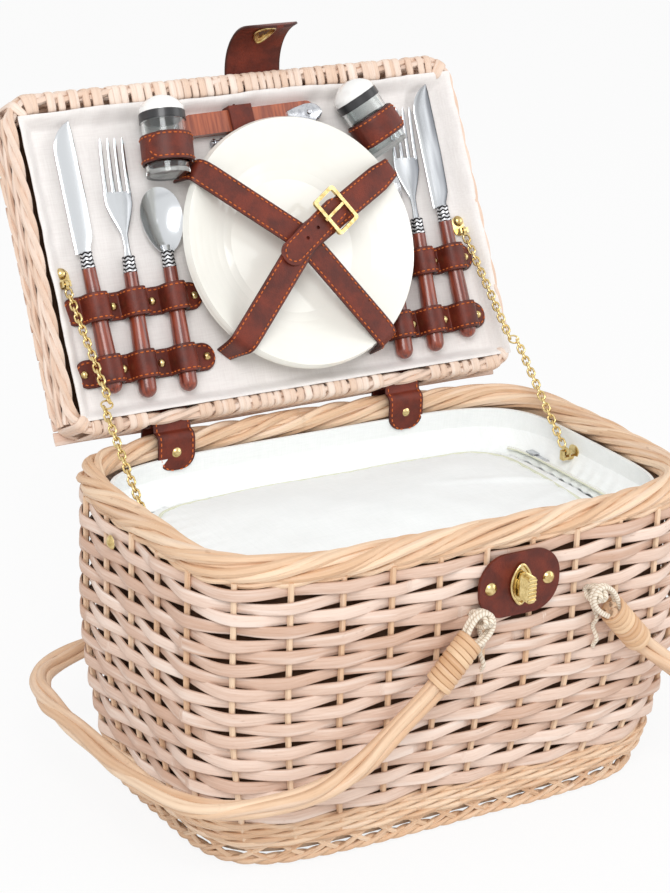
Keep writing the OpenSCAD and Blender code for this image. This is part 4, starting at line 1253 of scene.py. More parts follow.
@dataclass
class LidTray:
    """The lid: a shallow woven tray with a cloth lining."""

    half_u: float = 202.0
    half_v: float = 132.0
    mid_v: float = 123.0
    corner: float = 25.0
    band: float = 18.5
    hinge_band: float = 13.0
    wrap_pitch: float = 6.7
    wrap_mid: float = -17.3
    wrap_half: float = 16.6
    wrap_square: float = 0.42
    rail_inset: float = 6.0
    rail_levels: tuple = (-5.0, -31.0)
    strand_levels: tuple = (-11.5, -18.0, -24.5)
    strand_d: float = 4.5
    stake_pitch: float = 46.0
    skin_w: float = -35.4
    skin_rows: int = 23
    skin_pitch: float = 11.0
    skin_rod_pitch: float = 43.0
    cloth: tuple = (-190.0, 196.0, 2.5, 238.0)
    cloth_w: float = -9.3
    hem: float = 9.9

    def edge(self, run: Array, inset: Array | float = 0.0) -> tuple[Array, Array]:
        """Points and outward directions along the rounded rectangle of the lid's edge.

        Args:
            run: length run round the outer edge, from the middle of the front towards -u.
            inset: distance inwards from the outer edge.

        Returns:
            Flat points (n, 2) and outward directions (n, 2).
        """
        a, b, r = self.half_u - self.corner, self.half_v - self.corner, self.corner
        arcs = [np.linspace(k * math.pi / 2, (k + 1) * math.pi / 2, 24) for k in range(1, 5)]
        signs = [(-1, 1), (-1, -1), (1, -1), (1, 1)]
        outs = np.concatenate([np.stack([np.cos(t), np.sin(t)], -1) for t in arcs])
        centres = np.repeat(np.array(signs, float) * [a, b], 24, 0)
        outs = np.concatenate([[[0, 1]], outs, [[0, 1]]])
        centres = np.concatenate([[[0, b]], centres, [[0, b]]])
        line = centres + outs * r
        along = run_of(line)
        run = np.mod(run, along[-1])
        out = unit(lookup(run, along, outs))
        flat = lookup(run, along, line) - out * np.broadcast_to(np.asarray(inset, float), run.shape)[:, None]
        return flat + [0, self.mid_v], out

    @property
    def around(self) -> float:
        """Length of the outer edge."""
        return 4 * (self.half_u + self.half_v - 2 * self.corner) + TAU * self.corner

    def rails(self) -> None:
        """Two twisted rails round the whole lid, and open twisted strands with short stakes along both sides."""
        piece = Piece("lid_rails")
        run = np.arange(400) / 400 * self.around
        flat, _ = self.edge(run, self.rail_inset)
        for w, seed in zip(self.rail_levels, (61, 62)):
            rope(piece, uvw(flat[:, 0], flat[:, 1], w), 3, 2.6, 5.4, 18, True, OUT, seed, 6)
        for sign in (-1, 1):
            v = np.linspace(4, 238, 90)
            for row, w in enumerate(self.strand_levels):
                for strand in range(2):
                    turn = (v / 46 + row * 0.5) * math.pi + strand * math.pi
                    path = uvw(sign * (self.half_u - self.rail_inset + 2.7 * np.cos(turn)), v, w + 3.0 * np.sin(turn))
                    rod(piece, path, self.strand_d, draw(row * 7 + strand + sign + 50), 7, ref=OUT)
            for k in range(6):
                w = np.linspace(-33, -3, 5)
                rod(piece, uvw(sign * (self.half_u - 6.5), 8 + k * self.stake_pitch, w), 4.6, 0.3, 6,
                    ref=(1, 0.1, 0.2))
        piece.build(LIME, "lid", slot="willow_rod")

    def wraps(self) -> None:
        """Half-round strips bound side by side over the front and hinge bands and round the corners."""
        piece = Piece("lid_wraps")
        front = np.arange(-(self.half_u - 4), self.half_u - 4, self.wrap_pitch)
        t = around(22)
        s = np.sin(t)
        squared, rise = bulge(np.cos(t), self.wrap_square), bulge(s, self.wrap_square)
        for band, centre, at_hinge in ((self.band, 0.0, False), (self.hinge_band, self.around / 2, True)):
            for k, offset in enumerate(front):
                offset = offset * (1.0 + 0.02 * math.sin(k * 2.3))
                if at_hinge and any(abs(offset - x) < 20 for x in HINGES):
                    continue
                inset = band / 2 - (band / 2 - 1.1) * squared
                w = self.wrap_mid + self.wrap_half * rise + (0.5 * math.sin(k * 1.9) if k % 3 else 0.9) * (s > 0)
                slant = 1.5 * s * (1 if k % 2 else 0.6)
                flat, out = self.edge(centre + offset + slant, inset)
                path = uvw(flat[:, 0], flat[:, 1], w)
                tangent = unit(np.roll(path, -1, 0) - np.roll(path, 1, 0))
                lengthwise = np.stack([-out[:, 1], out[:, 0], np.zeros(len(out))], -1) @ SLOPE
                facing = unit(np.cross(tangent, lengthwise))
                width = self.wrap_pitch * 0.47 * (0.94 + 0.1 * draw(k + 300))
                ribbon(piece, path, facing, unit(np.cross(facing, tangent)), (1.25, width),
                       run_of(path) + k * 71, draw(k + 200), 8, 0.85)
        piece.build(LIME, "lid", ["lid_frame"], slot="split_willow")

    def skin(self) -> None:
        """The lid's woven outside: flat strips over rods that run front to back, on a dark inner sheet of painted
        shade.
        """
        piece, shade = Piece("lid_skin"), Piece("lid_skin_shade")
        u = np.linspace(-self.half_u + 3, self.half_u - 3, 84)
        section = oval(5.0, 1.0, 8, 0.8)
        for row in range(self.skin_rows):
            v = -4 + row * self.skin_pitch + 0.5 * np.sin(u / 40 + row)
            swing = bulge(np.cos(math.pi * (u / self.skin_rod_pitch + row)), 0.7)
            path = uvw(u, v, self.skin_w + 1.5 * swing)
            _, side, up = frames_along(path, OUT)
            strip = marks(u + 220 + row * 50, 8, draw(row + 90), 0.8)
            strip[..., 1] = np.cos(around(8) + PROFILE_TURN)
            piece.tube(sweep(path, side, up, section), strip)
        for k in range(-4, 5):
            path = uvw(k * self.skin_rod_pitch, np.linspace(-4, 246, 12), self.skin_w + 0.2)
            rod(piece, path, 3.6, 0.4, 6, ref=OUT)
        piece.build(WEAVER, "lid", ["lid_top_weave"], slot="split_willow")
        # a dark sheet of painted shade under the skin, for the hollow of the tray
        a, b = np.meshgrid(np.linspace(-self.half_u + 9, self.half_u - 9, 24), np.linspace(2, 240, 16), indexing="ij")
        shade.sheet(uvw(a, b, -30.5), 0.6, OUT)
        shade.build(SHADE_PAINT, "lid")

    def lining(self) -> None:
        """The cloth panel: flat on its board, rising over the bands at its hem, with soft wrinkles."""
        piece = Piece("lid_lining")
        left, right, low, high = self.cloth
        a, b = np.meshgrid(np.linspace(0, 1, 190), np.linspace(0, 1, 130), indexing="ij")
        a, b = (0.35 * (0.5 - 0.5 * np.cos(math.pi * share)) + 0.65 * share for share in (a, b))
        u, v = left + (right - left) * a, low + (high - low) * b
        near = np.minimum(np.minimum(u - left, (right - u) * 0.8), np.minimum((v - low) * 1.4, high - v))
        lift = 1 - smooth(near, 1.5, 13.0)
        calm = smooth(near, 4, 30)
        w = self.cloth_w + self.hem * lift
        w = w + 0.5 * ripple(u, v, 3, 120) * calm + 0.8 * (1 - calm) * ripple(u * 2.2, v * 2.2, 4, 60)
        crease = np.exp(-((u - 150 - 0.12 * (v - 200)) / 3.2) ** 2) * smooth(v, 150, 225)
        crease2 = np.exp(-((v - 226 + 0.1 * u) / 3.5) ** 2) * smooth(np.abs(u), 60, 150)
        w = w + 1.5 * crease + 0.9 * crease2
        w = w + 0.5 * np.sin((u + v * 0.6) / 7.5) * (1 - smooth(near, 2, 24))
        v = v + 0.9 * np.sin(u / 23.0) * smooth(v, 225, 238)
        piece.sheet(uvw(u, v, w), 0.9, OUT)
        cloth = piece.build(CLOTH, "lid", ["lid_lining_board"], 70, "lining_cloth")

    def build(self) -> None:
        """Builds the tray and its lining."""
        self.rails()
        self.wraps()
        self.skin()
        self.lining()
        dress(ROD, "lid_hinge_rods")


@dataclass
class HingeStraps:
    """Leather straps over the back rim that loop round the lid's edge rods."""

    width: float = 32.0
    thickness: float = 1.8
    loop_r: float = 4.9
    axis_y: float = 129.25
    axis_z: float = 259.5

    def build(self) -> None:
        """A strap runs up inside the rim, over it to the hinge rod, round that and down behind."""
        leather, thread = Piece("hinge_leather"), Piece("hinge_stitching")
        for x in HINGES:
            front = 116.2 - 1.2 * (x < 0)
            climb = rounded([(front, 221), (front, 236), (front, 246.5), (front + 3, 249.2), (122, 249.6),
                             (self.axis_y - 6.5, 251.5), (self.axis_y - 5.4, 256)], 2)
            arc = np.linspace(math.pi, -0.55 * math.pi, 24)
            over = np.stack([self.axis_y + self.loop_r * np.cos(arc), self.axis_z + self.loop_r * np.sin(arc)], -1)
            down = rounded([(self.axis_y + 3, 251.5), (141, 249.2), (142.6, 246), (142.9, 226)], 2)
            line = np.concatenate([climb, over, down])
            path = np.stack([np.full(len(line), x), line[:, 0], line[:, 1]], -1)
            tangent = unit(np.gradient(path, axis=0))
            face = unit(np.cross(tangent, [1.0, 0, 0]))
            face = face if face[2, 1] < 0 else -face
            Strap(path, face, self.width, self.thickness, 12, 8, count=90).leather(leather).stitches(thread, 2.6)
        leather.build(HIDE, "basket", ["hinge_straps"], slot="leather")
        thread.build(STITCH, "basket")
        dress(BRASS, "hinge_strap_rivets")


# ---------- the cooler bag

@dataclass
class CoolerBag:
    """The insulated bag in the body: lining, gathered collar, piped zip line and padded flap."""

    outline: Outline
    half_u: float = 174.0
    half_v: float = 102.0
    top: float = 202.0
    bottom: float = 191.0
    crown: float = 9.0
    rim_half: float = 194.6
    collar_z: float = 198.6
    collar_rise: float = 21.0
    gathers: int = 74
    zip_z: float = 202.6
    zip_ends: tuple = (26, -206)
    zip_grow: float = 5.4
    teeth: int = 330
    wall_inset: float = 15.4
    wall_t: float = 2.2

    def billow(self, x: Array, y: Array) -> Array:
        """Soft unevenness of the flap's fabric."""
        return ripple(x, y, 12, 150) * 1.3 + ripple(x, y, 13, 60) * 0.45

    def flap_ring(self, turn: Array, grow: float) -> Array:
        """The flap's outline: a superellipse-like rounded rectangle at polar angles, grown outwards."""
        a, b, p = self.half_u + grow, self.half_v + grow, 6.0
        c, s = np.cos(turn), np.sin(turn)
        radius = (np.abs(c / a) ** p + np.abs(s / b) ** p) ** (-1 / p)
        return np.stack([radius * c, radius * s], -1)

    def turns(self, count: int) -> Array:
        """Angles that give evenly spaced points round the flap."""
        fine = np.linspace(0, TAU, 2000)
        run = run_of(self.flap_ring(fine, 0))
        return np.interp(np.arange(count) / count * run[-1], run, fine)

    def flap(self) -> None:
        """A crowned pad: height falls as a power of the distance to the edge, with puckers at the seam."""
        piece = Piece("cooler_flap_pad")
        turn = self.turns(320)
        share = np.concatenate([np.linspace(0.02, 0.86, 26), np.linspace(0.88, 1, 12)])
        ring = self.flap_ring(turn, 0)
        x = share[:, None] * ring[:, 0]
        y = share[:, None] * ring[:, 1]
        fall = (1 - share[:, None] ** 10) ** 0.5
        pucker = np.sin(around(320) * 62)[None] * smooth(share, 0.72, 0.95)[:, None]
        pucker = pucker * (1 - smooth(share, 0.96, 1.0))[:, None]
        seam = np.exp(-((share[:, None] - 0.9) / 0.018) ** 2)
        soft = self.billow(x, y) + self.crown * (1 - share[:, None] ** 2)
        fold = np.exp(-((y + 0.25 * x - 40) / 5) ** 2) * smooth(x, 20, 120) * 1.6
        fold2 = np.exp(-((y - 0.5 * x + 95) / 6) ** 2) * smooth(x, 40, 130) * 1.8
        up = self.bottom + 5 + (self.top - self.bottom - 2.6) * fall + (soft + fold + fold2) * fall \
            + 0.45 * pucker - 1.5 * seam
        down = self.bottom + 5 - (4.6 - 0.3 * ripple(x, y, 14, 120)) * fall
        rows = np.concatenate([np.stack([x, y, up], -1), np.stack([x, y, down], -1)[::-1][1:]])
        piece.tube(rows, np.zeros_like(rows))
        pad = piece.build(BAG, "cooler_flap", ["cooler_flap"], 80, "bag_fabric")

    def piping(self) -> None:
        """A thin corded seam near the flap's edge."""
        piece = Piece("flap_piping")
        turn = self.turns(260)
        x, y = (self.flap_ring(turn, 0) * 0.905).T
        z = self.top + 1.0 + self.billow(x, y) * 0.8
        rod(piece, np.stack([x, y, z], -1), 2.3, 0.5, 7, closed=True)
        piece.build(PIPING, "cooler_flap")

    def collar(self) -> None:
        """Gathered fabric from the flap's edge out to the lining, in soft folds across its width."""
        piece = Piece("cooler_collar_cloth")
        count = 420
        turn = self.turns(count)
        inner = self.flap_ring(turn, 1.2)
        angle = np.arctan2(inner[:, 1], inner[:, 0])
        outer = self.outline.at_angle(angle, np.full(count, self.rim_half))
        f = np.linspace(0, 1, 9)[:, None]
        flat = inner[None] * (1 - f[..., None]) + outer[None] * f[..., None]
        gather = np.sin(around(count) * self.gathers + 1.5 * np.sin(around(count) * 9))
        z = self.collar_z + 1.1 * gather[None] * np.sin((0.25 + 0.75 * f) * math.pi) + self.collar_rise * f ** 2.4
        top = np.concatenate([flat, z[..., None]], -1)
        under = top - [0, 0, 1.2]
        band = np.concatenate([top, under[::-1]])
        piece.tube(band, plain(band), closed=True)
        cloth = piece.build(BAG, "basket", ["cooler_collar"], 80, "bag_fabric")

    def zip(self) -> None:
        """Zip tape round three sides of the flap, with its teeth."""
        tape, teeth = Piece("zip_band"), Piece("zip_teeth")
        fine = np.linspace(*np.radians(self.zip_ends), 420)
        line = resample(self.flap_ring(fine, self.zip_grow), 240)
        path = np.concatenate([line, np.full((240, 1), self.zip_z)], 1)
        _, side, up = frames_along(path, UP)
        tape.tube(sweep(path, side, up, oval(2.6, 0.55, 8, 0.6)), marks(run_of(path), 8, 0.5))
        tape.build(PIPING, "basket", ["zip_tape"])
        spots = resample(path, self.teeth) + [0, 0, 0.7]
        tangent = unit(np.gradient(spots, axis=0))
        frames = np.stack([tangent, unit(np.cross(UP, tangent)), np.broadcast_to(UP, tangent.shape)], 1)
        box = np.array([[x, y, z] for x in (-0.65, 0.65) for y in (-1.2, 1.2) for z in (-0.4, 0.4)])
        quads = np.array([[0, 1, 3, 2], [4, 6, 7, 5], [0, 4, 5, 1], [2, 3, 7, 6], [0, 2, 6, 4], [1, 5, 7, 3]])
        teeth.copies(box, quads, np.zeros((0, 3), int), spots, frames)
        teeth.build(GLOSS, "basket", sharp=30)
        dress(STEEL, "zip_slider")

    def lining(self) -> None:
        """The bag's walls and floor: a thin shell that billows softly between its corners."""
        piece = Piece("cooler_lining_cloth")
        count = 200
        share = np.arange(count) / count
        rows = []
        for wall, levels in ((0.0, np.linspace(16.6, 231.0, 20)), (self.wall_t, np.linspace(231.0, 19.2, 20))):
            for z in levels:
                mouth = 196.0 - 2.2 * float(smooth(z, 216, 224))
                half = np.minimum(self.outline.half(z) - self.wall_inset, mouth) - wall
                bow = 0.8 * ripple(share * 1300, z * 1.5, 40, 140) * math.sin(math.pi * (z - 16) / 210)
                rows.append(self.outline.ring(share, z, half + np.minimum(bow, 0.4))[0])
        floor = np.linspace(0.9, 0.0, 5)[:4]
        low, high = rows[0], rows[-1]
        inner = [high * [f, f, 1] for f in floor]
        outer = [low * [f, f, 1] for f in floor[::-1]]
        grid = np.stack(outer + rows + inner)
        piece.tube(grid, np.zeros_like(grid))
        cloth = piece.build(BAG, "basket", ["cooler_lining"], 60, "bag_fabric")

    def build(self) -> None:
        """Builds the bag."""
        self.lining()
        self.collar()
        self.zip()
        self.flap()
        self.piping()


# ---------- what the lid carries

@dataclass
class PlateSet:
    """Two plates, crossed leather straps over them, a tongue and a buckle."""

    u: float = 18.0
    v: float = 113.0
    over_plates: float = 27.8
    width: float = 22.0
    thickness: float = 2.0
    reach: float = 104.5
    tongue_angle: float = math.radians(33)
    tongue_ends: tuple = (-25, 41)
    tongue_half: float = 7.9
    tongue_round: float = 9.5
    tongue_top: float = 34.55

    def arm(self, angle: float, height: float, end: float) -> Array:
        """From the middle out over the plates' edge and down: lid points of one arm."""
        a = math.radians(angle)
        path = rounded([(0, height), (60, height), (self.reach - 3, height + 0.2), (self.reach, height - 3),
                        (self.reach + 0.8, (height + end) / 2), (self.reach + 2.0, end)], 3)
        return uvw(self.u + path[:, 0] * math.cos(a), self.v + path[:, 0] * math.sin(a), BOARD + path[:, 1])

    def strap(self, leather: Piece, thread: Piece, arms: Sequence[tuple[float, float]], height: float) -> None:
        """One strap from the end of an arm, through the middle, to the end of another.

        Args:
            leather: the piece that takes the strap.
            thread: the piece that takes its stitches.
            arms: angle and height of the end, for both arms.
            height: of the middle over the board.
        """
        first, second = (self.arm(a, height, end) for a, end in arms)
        middle = rounded(resample(np.concatenate([first[::-1], second[1:]]), 60), 2)
        tangent = unit(np.gradient(middle, axis=0))
        outward = unit(middle - uvw(self.u, self.v, 10.0))
        steep = np.abs(tangent @ OUT)[:, None]
        face = unit(OUT * (1 - steep) + (outward - (outward @ OUT)[:, None] * OUT) * steep)
        taper = np.interp(np.linspace(0, 1, 41), [0, 0.075, 0.13, 0.87, 0.925, 1], [0.62, 0.8, 1, 1, 0.8, 0.62])
        Strap(middle, face, self.width, self.thickness, taper=taper, count=120).leather(leather).stitches(thread, 2.4)

    def build(self) -> None:
        """Builds both straps and the stitching of the tongue, and dresses plates, tongue and buckle."""
        dress(CHINA, "back_plate", "front_plate")
        under, over, thread = Piece("plate_strap_low"), Piece("plate_strap_high"), Piece("plate_strap_stitching")
        self.strap(under, thread, ((141, 0.6), (-57, 0.6)), self.over_plates + 1.0)
        self.strap(over, thread, ((28, 15), (225, 0.6)), self.over_plates + 3.3)
        under.build(HIDE, "lid", ["plate_strap_under"], slot="leather")
        over.build(HIDE, "lid", ["plate_strap_over"], slot="leather")
        c, s = math.cos(self.tongue_angle), math.sin(self.tongue_angle)
        along = np.linspace(*self.tongue_ends, 40)
        turned = np.clip(1 - (along - along[0]) / self.tongue_round, 0, 1)
        for sign in (-1, 1):
            across = sign * self.tongue_half * np.sqrt(np.clip(1 - turned ** 2, 0.02, 1))
            line = uvw(self.u + along * c - across * s, self.v + along * s + across * c, BOARD + self.tongue_top)
            stitch_line(thread, line, OUT, 1)
        thread.build(STITCH, "lid")
        dress(HIDE, "strap_tongue")
        dress(BRASS, "strap_buckle")


class Head(Enum):
    """The working end of a piece of cutlery."""

    KNIFE = "knife"
    FORK = "fork"
    SPOON = "spoon"


# the last number of each row is how dark the painted reflection on its steel is
CUTLERY = (("left_knife", Head.KNIFE, -158, 20, 0.0, 213, 0.0), ("left_fork", Head.FORK, -131, 13, -3.9, 203, 0.5),
           ("left_spoon", Head.SPOON, -96, 13, -3.0, 159, 0.1), ("right_knife", Head.KNIFE, 161, 20, -0.8, 213, 0.9),
           ("right_fork", Head.FORK, 128, 13, -4.3, 203, 0.8), ("right_spoon", Head.SPOON, 98, 11, -5.0, 159, 0.5))


@dataclass
class Cutlery:
    """A knife, fork or spoon: wooden grip, patterned collar and steel end, lying on the board."""

    name: str
    head: Head
    u: float
    v: float
    lean: float
    length: float
    # how dark the painted reflection on the steel is
    tone: float = 0.0
    grip_l: float = 96.0
    grip_d: float = 14.0
    neck_d: float = 10.5
    collar_l: float = 13.0
    tine_l: float = 44.0
    tip_r: float = 26.0
    bowl_half: tuple = (17.5, 26.0, 6.0)

    def __post_init__(self) -> None:
        """Where the steel starts, and its length."""
        self.foot = self.grip_l + self.collar_l
        self.reach = self.length - self.foot

    def place(self, local: Array) -> Array:
        """Local points (x across, y along, z up) in the basket's frame."""
        a = math.radians(self.lean)
        x, y, z = local[..., 0], local[..., 1], local[..., 2]
        return uvw(self.u + x * math.cos(a) - y * math.sin(a), self.v + x * math.sin(a) + y * math.cos(a),
                   BOARD + self.grip_d / 2 + z)

    def turned(self, piece: Piece, y: Array, radius: Array, flat: float = 1.0, sides: int = 20) -> None:
        """A turned shape about the piece's own length.

        Args:
            piece: the piece that takes it.
            y: places along.
            radius: radius at each of them.
            flat: height as a share of the width.
            sides: points round it.
        """
        angle = np.arange(sides) / sides * TAU - math.pi / 2
        ring = np.stack([np.cos(angle), np.sin(angle) * flat], -1)
        local = np.zeros((len(y), sides, 3))
        local[..., 0] = radius[:, None] * ring[:, 0]
        local[..., 1] = y[:, None]
        local[..., 2] = radius[:, None] * ring[:, 1]
        strip = np.zeros((len(y), sides, 3))
        strip[..., 0] = y[:, None] * MM
        strip[..., 1] = np.arange(sides) / sides * 2 - 1
        piece.tube(self.place(local), strip)

    def slab(self, piece: Piece, y: Array, left: Array, right: Array, rise: Array, thick: Array, tone: float) -> None:
        """A flat blade-like shape, an oval at each place along.

        Args:
            piece: the piece that takes it.
            y: places along.
            left: left edge at each of them.
            right: right edge.
            rise: height of the middle.
            thick: thickness.
            tone: how dark the painted reflection on the steel is.
        """
        section = oval(np.full(len(y), 0.5), np.full(len(y), 0.5), 12, 0.85)
        local = np.zeros((len(y), 12, 3))
        local[..., 0] = ((left + right) / 2)[:, None] + section[..., 0] * (right - left)[:, None]
        local[..., 1] = y[:, None]
        local[..., 2] = rise[:, None] + section[..., 1] * thick[:, None]
        strip = np.zeros((len(y), 12, 3))
        strip[..., 0] = y[:, None] * MM
        strip[..., 1] = section[..., 0] * 2
        strip[..., 2] = tone
        piece.tube(self.place(local), strip)

    def knife(self, piece: Piece) -> None:
        """Blade: straight back, an edge that swells, and a tip rounded on a large radius."""
        turn = self.reach - self.tip_r
        y = np.concatenate([np.linspace(0, turn, 20), turn + 24.4 * np.sin(np.linspace(0.1, 1, 16) * math.pi / 2)])
        curve = np.clip(y - turn, 0, 25.9)
        right = np.interp(y, [0, 5, 11, 18, self.reach - 60, self.reach - 8, self.reach - 3, self.reach],
                          [5, 5.2, 8.6, 9.2, 10, 9.6, 9.0, 7.9])
        left = np.minimum(np.where(y < turn, -8.0, 18 - np.sqrt(self.tip_r ** 2 - curve ** 2)), right - 0.4)
        self.slab(piece, y + self.foot - 1, left, right, np.zeros(len(y)), np.full(len(y), 1.9), self.tone)

    def fork(self, piece: Piece) -> None:
        """Neck that widens into a root, and four tines that taper and lift at their ends."""
        def lift(y: Array) -> Array:
            """How far the fork dips under its own line."""
            return -2.2 * np.sin(np.clip((y - 10) / (self.reach - 10), 0, 1) * math.pi)

        root = self.reach - self.tine_l
        y = np.linspace(0, root + 1.5, 26)
        wide = np.interp(y, [0, 8, root - 32, root - 18, root - 8, root + 2], [3.2, 2.4, 2.8, 8.2, 11.2, 11.5])
        self.slab(piece, y + self.foot - 1, -wide, wide, lift(y), np.full(len(y), 2.0), self.tone)
        t = np.linspace(0, 1, 14)
        y = root + (self.tine_l - 1.0) * t
        half = 1.75 * (1 - 0.35 * t) * np.sqrt(np.clip(1 - (np.clip(t - 0.94, 0, 1) / 0.065) ** 2, 0.05, 1))
        for x in (-9.6, -3.1, 3.1, 9.6):
            centre = x * (1 - 0.04 * t)
            self.slab(piece, y + self.foot - 1, centre - half, centre + half, lift(y), 2.0 - 0.8 * t, self.tone)

    def spoon(self, piece: Piece) -> None:
        """Neck and an egg-shaped bowl: depth falls off with the square of the distance to its lip."""
        y = np.linspace(0, self.reach - 44, 12)
        wide = np.interp(y, [0, self.reach - 52, self.reach - 44], [3.0, 2.6, 3.6])
        self.slab(piece, y + self.foot - 1, -wide, wide, np.linspace(0, -1.0, 12), np.full(12, 2.4), 0.2)
        half_x, half_y, deep = self.bowl_half
        r = np.concatenate([np.linspace(0.04, 1, 14), np.linspace(1, 0.04, 14)])[:, None]
        layer = np.repeat([0.0, -1.3], 14)[:, None]
        angle = around(36)
        bowl = np.zeros((28, 36, 3))
        bowl[..., 0] = half_x * r * np.cos(angle) * (1 + 0.14 * np.sin(angle) * r)
        bowl[..., 1] = self.length - half_y + half_y * r * np.sin(angle)
        bowl[..., 2] = layer - deep * (1 - r ** 2) + 1.2 * r ** 2
        strip = np.zeros_like(bowl)
        strip[..., 0] = bowl[..., 1] * MM
        strip[..., 1] = bowl[..., 0] / half_x
        piece.tube(self.place(bowl), strip)

    def build(self) -> None:
        """Builds grip, collar and steel."""
        grip, collar, steel = (Piece(f"{self.name}_{part}") for part in ("grip", "collar", "steel"))
        half = self.grip_d / 2
        cap = half - half * np.cos(np.linspace(0.08, 1, 7) * math.pi / 2)
        y = np.concatenate([cap, np.linspace(half + 6, self.grip_l, 12)])
        body = half + (self.neck_d / 2 - half) * smooth(y, 20, self.grip_l + 12)
        radius = np.where(y <= half, np.sqrt(np.maximum(half ** 2 - (half - y) ** 2, 0.01)), body)
        self.turned(grip, y, radius)
        grip.build(GRIP, "lid", slot="grip_wood")
        ends = np.array([0, 0.6, 1.6, 2.2, 6.5, 11, 11.6, 12.4, 13.0])
        self.turned(collar, self.grip_l + ends, np.array([5.2, 5.7, 5.7, 5.2, 5.0, 4.8, 5.2, 5.0, 4.2]))
        collar.build(COLLAR, "lid", slot="steel")
        {Head.KNIFE: self.knife, Head.FORK: self.fork, Head.SPOON: self.spoon}[self.head](steel)
        steel.build(BLADE, "lid", [self.name], 40, "steel")


@dataclass
class CutleryStraps:
    """Leather straps along the lid that arch over the grips, riveted between them."""

    rows: tuple = (38.0, 86.0)
    width: float = 22.0
    arch: float = 9.3
    thickness: float = 1.9
    ends: tuple = ((-184, -66), (83, 184), (112, 184))

    def crossings(self, picks: Sequence[int], v: float) -> list[float]:
        """Where the picked grips cross a row."""
        places = (CUTLERY[k][2:5] for k in picks)
        return sorted(u - (v - foot) * math.tan(math.radians(lean)) for u, foot, lean in places)

    def row(self, leather: Piece, thread: Piece, picks: Sequence[int], v: float, ends: Sequence[float]) -> None:
        """One strap: flat between the grips and bent over each in a half circle with eased feet.

        Args:
            leather: the piece that takes the strap.
            thread: the piece that takes its stitches.
            picks: numbers of the grips that it crosses.
            v: its place on the lid.
            ends: where it starts and ends along the lid.
        """
        r = self.arch
        arch = [(r + 3, 1.0), (r + 0.2, 1.2), (r, 5.5), (r * 0.88, 12.6), (r * 0.4, 16.6)]
        line = [(ends[0], 1.0)]
        for u in self.crossings(picks, v):
            line += [(u - x, h) for x, h in arch] + [(u + x, h) for x, h in arch[::-1]]
        line.append((ends[1], 1.0))
        flat = rounded(line, 3)
        path = uvw(flat[:, 0], v, BOARD + flat[:, 1])
        tangent = unit(np.gradient(path, axis=0))
        face = unit(np.cross(tangent, SLOPE[1]))
        face = face if face[0] @ OUT > 0 else -face
        Strap(path, face, self.width, self.thickness, 10, 10, count=170).leather(leather).stitches(thread, 2.5)

    def build(self) -> None:
        """Builds the four straps and dresses the rivets."""
        thread = Piece("cutlery_strap_stitching")
        left, right = Piece("cutlery_straps_left"), Piece("cutlery_straps_right")
        for v in self.rows:
            self.row(left, thread, (0, 1, 2), v, self.ends[0])
        self.row(right, thread, (3, 4, 5), self.rows[0], self.ends[1])
        self.row(right, thread, (3, 4), self.rows[1], self.ends[2])
        left.build(HIDE, "lid", ["left_cutlery_straps"], slot="leather")
        right.build(HIDE, "lid", ["right_cutlery_straps"], slot="leather")
        thread.build(STITCH, "lid")
        dress(BRASS, "cutlery_rivets")


@dataclass
class Shakers:
    """Two glass shakers with black bands and white caps, each in a leather loop."""

    places: tuple = ((-82.0, 177.0, -6.0, 1), (117.0, 178.2, 25.0, -1))
    axis: float = 20.0
    radius: float = 18.4
    strap_z: float = 20.0
    width: float = 22.0
    lap: float = 1.9

    def at(self, place: Sequence[float], local: Array) -> Array:
        """Local points (x across, y towards the board, z along the shaker) in the basket's frame."""
        a = math.radians(place[2])
        x, y, z = local[..., 0], local[..., 1], local[..., 2]
        return uvw(place[0] + x * math.cos(a) - z * math.sin(a), place[1] + x * math.sin(a) + z * math.cos(a),
                   BOARD + self.axis - y)

    def build(self) -> None:
        """A loop round each glass, and over it a rounded overlapping end."""
        leather, thread = Piece("shaker_leather"), Piece("shaker_stitching")

        def arc(start: float, end: float, radius: float, count: int) -> Array:
            """Local points on a circle round the glass."""
            turn = np.linspace(start * math.pi, end * math.pi, count)
            return np.stack([radius * np.cos(turn), -radius * np.sin(turn), np.full(count, self.strap_z)], -1)

        for place in self.places:
            ring = arc(-0.5, 1.5, self.radius, 60)
            world = self.at(place, ring)
            face = unit(world - self.at(place, ring - unit(ring * [1, 1, 0])))
            Strap(world, face, self.width, 1.7, count=70).leather(leather).stitches(thread, 2.3)
            flap = arc(0.15, 0.86, self.radius + self.lap, 40)[::place[3]]
            flare = np.clip(np.arange(40) - 30, 0, 10)[:, None] * np.array([0.0, -0.02, 0.0])
            world = self.at(place, flap + flare)
            face = unit(world - self.at(place, flap - unit(flap * [1, 1, 0])))
            Strap(world, face, self.width, 1.8, 0, 10.5, count=50).leather(leather).stitches(thread, 2.4)
        leather.build(HIDE, "lid", ["shaker_loops"], slot="leather")
        thread.build(STITCH, "lid")
        dress(GLASS, "left_shaker", "right_shaker")
        dress(GLOSS, "shaker_caps")
        dress(BLACK, "shaker_bands")


